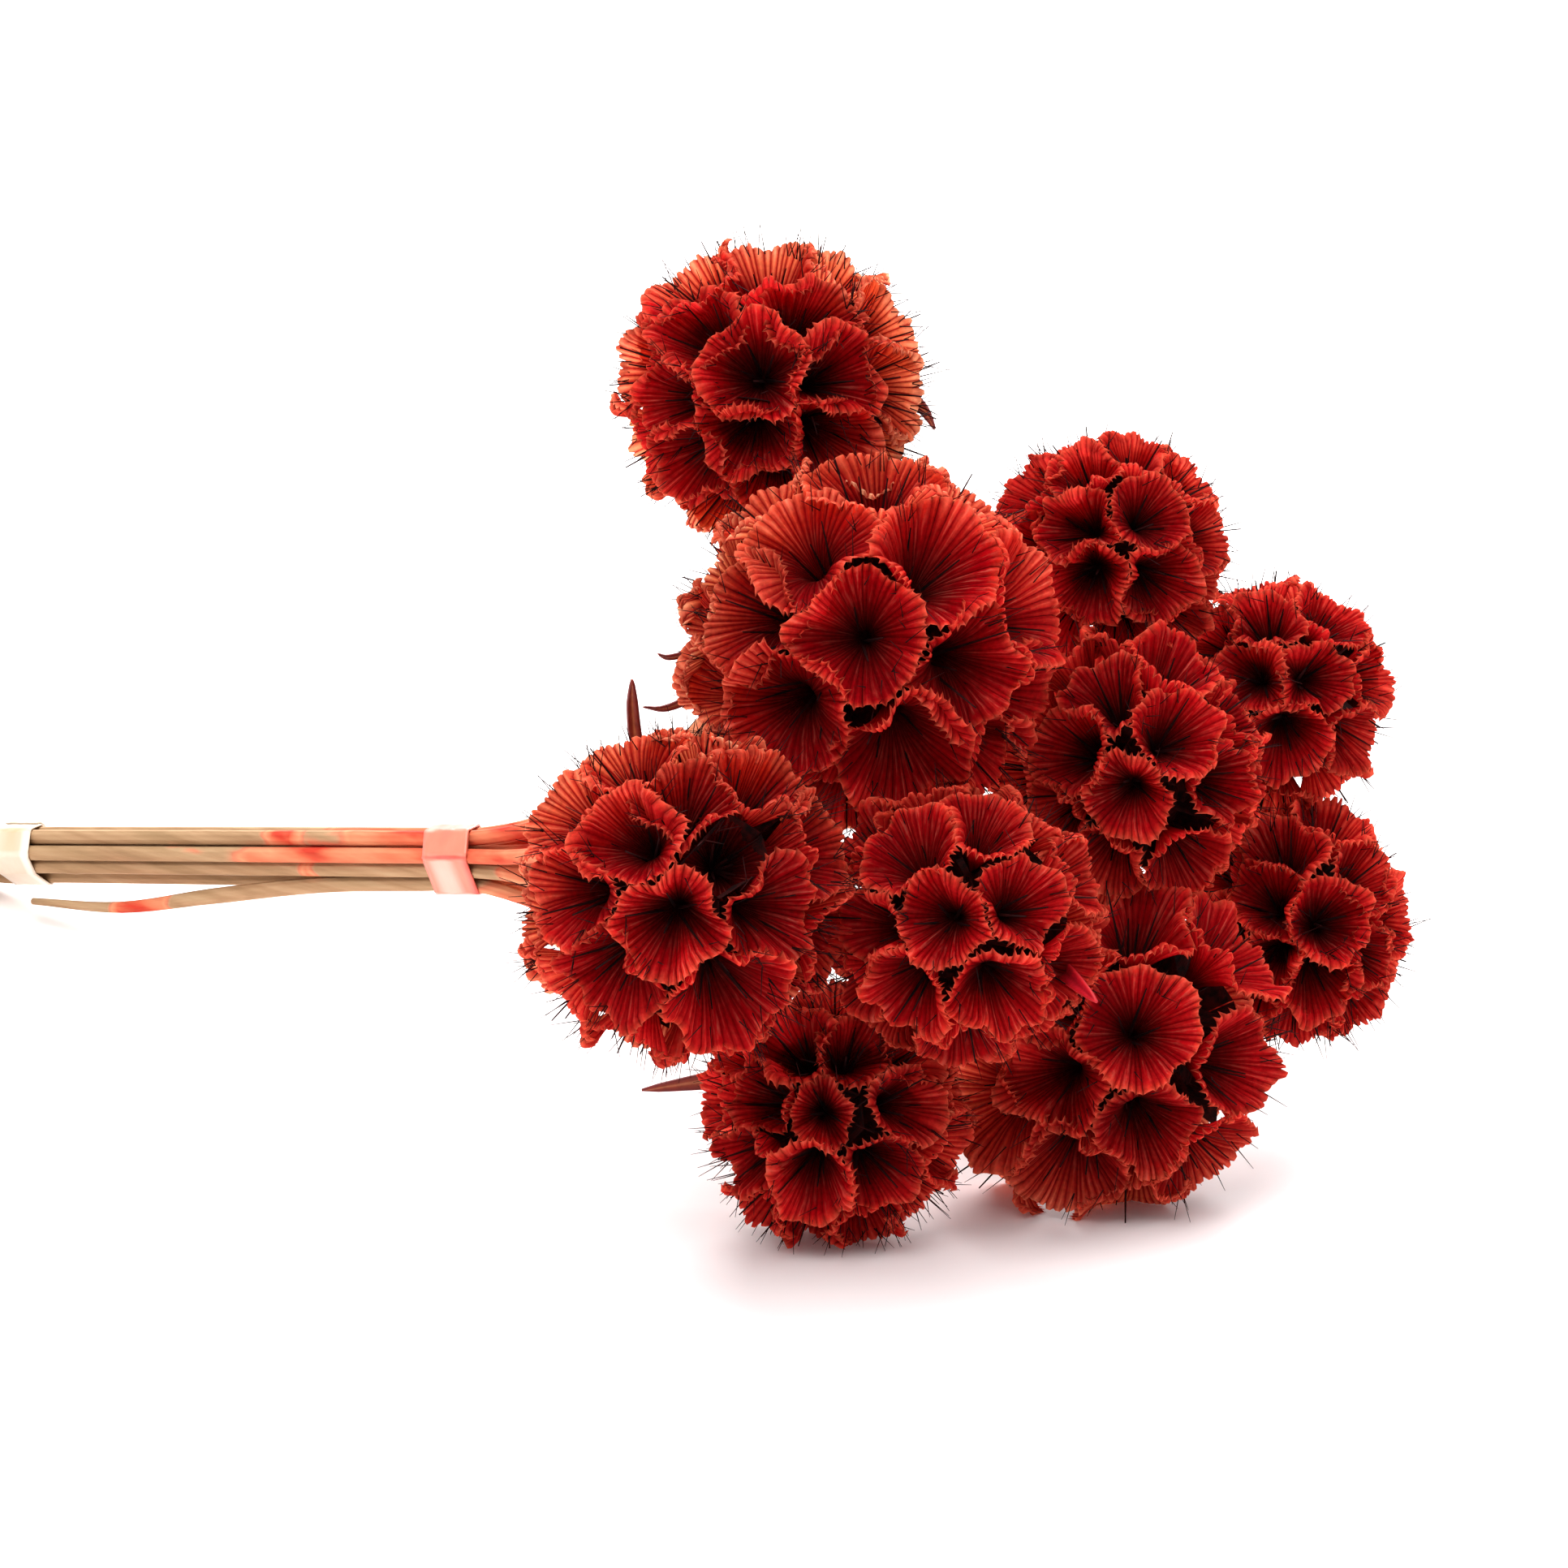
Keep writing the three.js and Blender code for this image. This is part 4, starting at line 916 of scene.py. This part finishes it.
def smoothLine(points, steps):
    # the soft curve through the points that the solids follow, with so many steps in each span
    points = np.asarray(points, float)
    padded = np.vstack([2 * points[0] - points[1], points, 2 * points[-1] - points[-2]])
    line = []
    for i, count in enumerate(steps):
        p0, p1, p2, p3 = padded[i:i + 4]
        d0, d1, d2 = (np.linalg.norm(b - a) ** 0.5 for a, b in ((p0, p1), (p1, p2), (p2, p3)))
        t1 = ((p1 - p0) / d0 - (p2 - p0) / (d0 + d1) + (p2 - p1) / d1) * d1
        t2 = ((p2 - p1) / d1 - (p3 - p1) / (d1 + d2) + (p3 - p2) / d2) * d1
        t = np.linspace(0, 1, count, endpoint=False)[:, None]
        bow = (-3 * p1 + 3 * p2 - 2 * t1 - t2) * t**2
        line.append(p1 + t1 * t + bow + (2 * p1 - 2 * p2 + t1 + t2) * t**3)
    line.append(points[-1:])
    return np.vstack(line)


def stemPoints(flower, index):
    y, z = flower["slot"][0] * stem["slotY"], flower["slot"][1] * stem["slotZ"]
    (frontX, _, frontZ), (backX, _, backZ) = drawing["frontTie"], drawing["backTie"]
    rise = (frontZ - backZ) / (frontX - backX)
    layer = (flower["slot"][1] + 3) / 2
    cut = stem["cutEnd"] + stem["cutSpread"] * (index * (3 - math.sqrt(5)) / 2 % 1)
    width, half = stem["tieWidth"], stem["tieWidth"] * stem["tieHold"]
    fan = zip((cut, *stem["fanX"]), stem["fan"])
    rear = flower.get("rear") or [
        *((x, out * y, stem["lowest"] + layer * high) for x, (out, high) in fan),
        (backX - width, y, backZ - rise * width + z),
        (backX + width, y, backZ + rise * width + z),
    ]
    top = axesOf(flower)[0]
    end = np.array(flower["at"]) - top * (flower["radius"] * stem["topDepth"] + stem["topGap"])
    tie = [(frontX - half, y, frontZ + z - rise * half), (frontX + half, y, frontZ + z + rise * half)]
    return [*rear, *tie, *flower["way"], end - stem["neck"] * top, end], len(rear)


def makeStem(number, flower, chance):
    control, tied = stemPoints(flower, number - 1)
    spans = np.linalg.norm(np.diff(control, axis=0), axis=1)
    steps = [max(2, round(span / stem["step"])) for span in spans]
    line = smoothLine(control, steps)
    place = [np.linspace(i, i + 1, n, endpoint=False) for i, n in enumerate(steps)]
    place = np.concatenate(place + [[len(steps)]])
    radius = np.interp(
        place, [0, tied, len(steps) - 1, len(steps)],
        [stem["cutRadius"], stem["tieRadius"], stem["neckRadius"], stem["topShare"] * flower["radius"]],
    )
    if "taper" in flower:
        thinnest, until = flower["taper"]
        radius *= np.interp(line[:, 0], [line[0, 0], until], [thinnest, 1])
    for joint in chance.uniform(*stem["joints"], 2):
        if abs(joint - drawing["backTie"][0]) > stem["tieWidth"]:
            off = (line[:, 0] - joint) / stem["jointLength"]
            radius *= 1 + stem["jointSwell"] * np.exp(-(off ** 2))
    # two more rings at the cut end and one at the top close it
    tangent = unit(np.gradient(line, axis=0))
    line = np.vstack([line[0] + stem["hollow"] * tangent[0], line[:1], line, line[-1:]])
    radius = np.concatenate([[0, radius[0] * stem["hollowShare"]], radius, [0]])
    tangent = np.vstack([tangent[:1], tangent[:1], tangent, tangent[-1:]])
    sheet, column, row = addSheet("stemSheet", stem["sides"], len(line) - 1)
    bpy.ops.object.shade_smooth()
    across, ring = upwards, []
    for way in tangent:
        across = unit(across - across @ way * way)
        ring.append((across, np.cross(across, way)))
    turn = -2 * math.pi * np.arange(stem["sides"] + 1) / stem["sides"]
    ring = np.array(ring)
    points = line[:, None] + radius[:, None, None] * (
        np.cos(turn)[None, :, None] * ring[:, None, 0] + np.sin(turn)[None, :, None] * ring[:, None, 1]
    )
    points = points[row, column]
    points[:, 2] = np.maximum(points[:, 2], stem["aboveFloor"])
    length = np.concatenate([[0], np.cumsum(np.linalg.norm(np.diff(line, axis=0), axis=1))]) / 10
    x, dyeFrom = points[:, 0], flower["dyeFrom"]
    dye = np.clip((x - dyeFrom) / stem["dyeBlur"] + 0.5, 0, 1) * stem["dye"]
    if "splash" in flower:
        low, high = flower["splash"]
        splash = np.clip(np.minimum(x - low, high - x) / stem["splashBlur"] + 0.5, 0, 1)
        dye = np.maximum(dye, stem["dye"] * splash)
    dye = np.maximum(dye, stem["dyeTrace"] * np.exp(-np.abs(x - dyeFrom) / stem["dyeFade"]))
    bendSheet(sheet, points, column / stem["sides"], length[row], dye=dye)
    paint(sheet, strawFinish)
    bracts = [makeBract(flower, i, chance, *shape) for i, shape in enumerate(flower["bracts"])]
    whole = joinAs(f"flowerStem_{number:02d}", [sheet, *bracts])
    dress(whole, f"stem_{number:02d}")


bract = dict(
    # its way from the stem's top: radii out from the head's middle and down, then drooping towards its tip
    root=((0.02, 0.58), (0.33, 0.9), (0.62, 1.03)), crest=(0.64, 1.05), droop=0.35,
    steps=(3, 3, 4, 5),
    sways=(1, 0.65, 0), petalSways=(0.35, 0.8, 1),  # a bract sways in its middle, the petal at its tip
    along=(0, 0.2, 0.5, 0.75, 0.93, 1), shape=(0.6, 0.8, 1, 0.8, 0.38, 0.06),  # its width along it
    reach=0.95, width=2.0, petalWidth=2.2, thickness=0.35, fold=0.22, twist=0.25,
    columns=4, aboveFloor=0.25,
)


def makeBract(flower, index, chance, degrees, reach=bract["reach"], sway=(0, 0, 0), wide=1):
    top, side, lift = axesOf(flower)
    turn = math.radians(degrees)
    outward = math.cos(turn) * side + math.sin(turn) * lift
    isPetal = index == flower.get("petal")
    (rootOut, rootBack), (crestOut, crestBack) = bract["root"][-1], bract["crest"]
    rest = reach - rootOut
    droop = bract["droop"] * rest
    arch = [*bract["root"], (crestOut + rest / 2, crestBack - droop / 2), (reach, rootBack - droop)]
    arch = [np.array(flower["at"]) + flower["radius"] * (out * outward - back * top) for out, back in arch]
    shares = bract["petalSways" if isPetal else "sways"]
    arch[2:] = [point + share * np.array(sway) for point, share in zip(arch[2:], shares)]
    line = smoothLine(arch, bract["steps"])
    share = np.linspace(0, 1, len(line))
    level = np.cross(top, outward)
    thick = np.cross(unit(np.gradient(line, axis=0)), level)
    sheet, column, row = addSheet("bractSheet", bract["columns"], len(line) - 1)
    bpy.ops.object.shade_smooth()
    across = column / bract["columns"] - 0.5
    widest = bract["petalWidth"] if isPetal else wide * bract["width"]
    width = (widest * np.interp(share, bract["along"], bract["shape"]))[row]
    twist = bract["twist"] * chance.uniform(-1, 1) * share[row] * across
    lie = bract["fold"] * width * (1 - (2 * across) ** 2) + twist
    points = line[row] + (across * width)[:, None] * level - lie[:, None] * thick[row]
    points[:, 2] = np.maximum(points[:, 2], bract["aboveFloor"])
    bendSheet(sheet, points, across + 0.5, share[row], dye=1.0 if isPetal else 0.0)
    thicken(sheet, bract["thickness"])
    paint(sheet, bractFinish)
    return sheet


for number, flower in enumerate(flowers, 1):
    makeStem(number, flower, np.random.default_rng(stem["seed"] + number))
print("stems and bracts made")

# The two strips of tape.
tape = dict(
    width=9, thickness=0.22, turns=1.13,
    margin=1.29,  # millimetres from the middle of the outer stems to the tape
    ahead=1.5, slant=0.6,  # how far the tape lies before its tie's place, and leans
    lapFrom=0.9, lapSlope=12, lapHeight=0.27,  # turns after which the tape climbs over its own start
    # creases around the bundle, how they lean and bend along it, and how deep they are in the tape's middle
    crease=0.05, creases=9, creaseLean=0.6, creaseBend=3, creaseBends=0.8, creaseMiddle=0.4,
    markEdge=(1.6, 1.2), columns=132, rows=12,
)
# each strip's stems, where it ends, how far it is skewed, and its marks: the middle and half width in radians
# around the bundle, then along it in millimetres
pinkStrip = dict(
    slots=[flower["slot"] for flower in flowers], endAt=2.4, skew=0.35,
    patches=[(3.7, 0.36, -0.8, 2.2), (2.2, 0.3, -3.6, 1.4)],
    stains=[(3.1, 0.2, 0.8, 5.5), (3.8, 0.6, 4.2, 0.6)],
)
whiteStrip = dict(
    slots=[flower["slot"] for flower in flowers if "rear" not in flower], endAt=0.6, skew=0.2,
    patches=[(3.4, 1.2, 3.6, 1.0)], stains=[(2.2, 0.6, 0, 3)],
)


def marksOf(spots, angle, along):
    mark = np.zeros(len(angle))
    full, edge = tape["markEdge"]
    for middle, halfWide, centre, halfLong in spots:
        near = np.hypot((angle - middle) / halfWide, (along - centre) / halfLong)
        mark = np.maximum(mark, np.clip(full - near * edge, 0, 1))
    return mark


def makeTapeStrip(name, strip, place, material):
    slots = np.array(strip["slots"]) * (stem["slotY"], stem["slotZ"])
    sheet, column, row = addSheet(name, tape["columns"], tape["rows"])
    bpy.ops.object.shade_smooth()
    turn = strip["endAt"] + 2 * math.pi * tape["turns"] * column / tape["columns"]
    ways = np.stack([np.cos(turn), np.sin(turn)], 1)
    outer = slots[np.argmax(ways @ slots.T, axis=1)]
    lap = np.clip((column / tape["columns"] * tape["turns"] - tape["lapFrom"]) * tape["lapSlope"], 0, 1)
    along = (row / tape["rows"] - 0.5) * tape["width"]
    bend = along * tape["creaseLean"] + tape["creaseBend"] * np.sin(along * tape["creaseBends"])
    deeper = (1 - tape["creaseMiddle"]) * np.abs(along) / (tape["width"] / 2)
    crease = tape["crease"] * np.sin(turn * tape["creases"] + bend) * (tape["creaseMiddle"] + deeper)
    flat = outer + ways * (tape["margin"] + tape["lapHeight"] * lap + crease)[:, None]
    (frontX, _, frontZ), (backX, _, backZ) = drawing["frontTie"], drawing["backTie"]
    slope = math.atan2(frontZ - backZ, frontX - backX)
    bundle = np.array([math.cos(slope), 0, math.sin(slope)])
    lift = np.array([-math.sin(slope), 0, math.cos(slope)])
    slide = along + strip["skew"] * np.sin(turn) + tape["ahead"] - tape["slant"] * flat[:, 0]
    points = np.array(place) + flat[:, :1] * (0, 1, 0) + flat[:, 1:] * lift + slide[:, None] * bundle
    angle = np.mod(turn, 2 * math.pi)
    patch, stain = (marksOf(strip[spots], angle, along) for spots in ("patches", "stains"))
    bendSheet(sheet, points, turn, along, patch=patch, stain=stain)
    thicken(sheet, tape["thickness"])
    bpy.ops.object.transform_apply(location=True, rotation=True, scale=True)
    paint(sheet, material)
    return sheet


dress(makeTapeStrip("pinkStrip", pinkStrip, drawing["frontTie"], pinkTape), "tie_front")
dress(makeTapeStrip("whiteStrip", whiteStrip, drawing["backTie"], whiteTape), "tie_back")
print("tapes made")
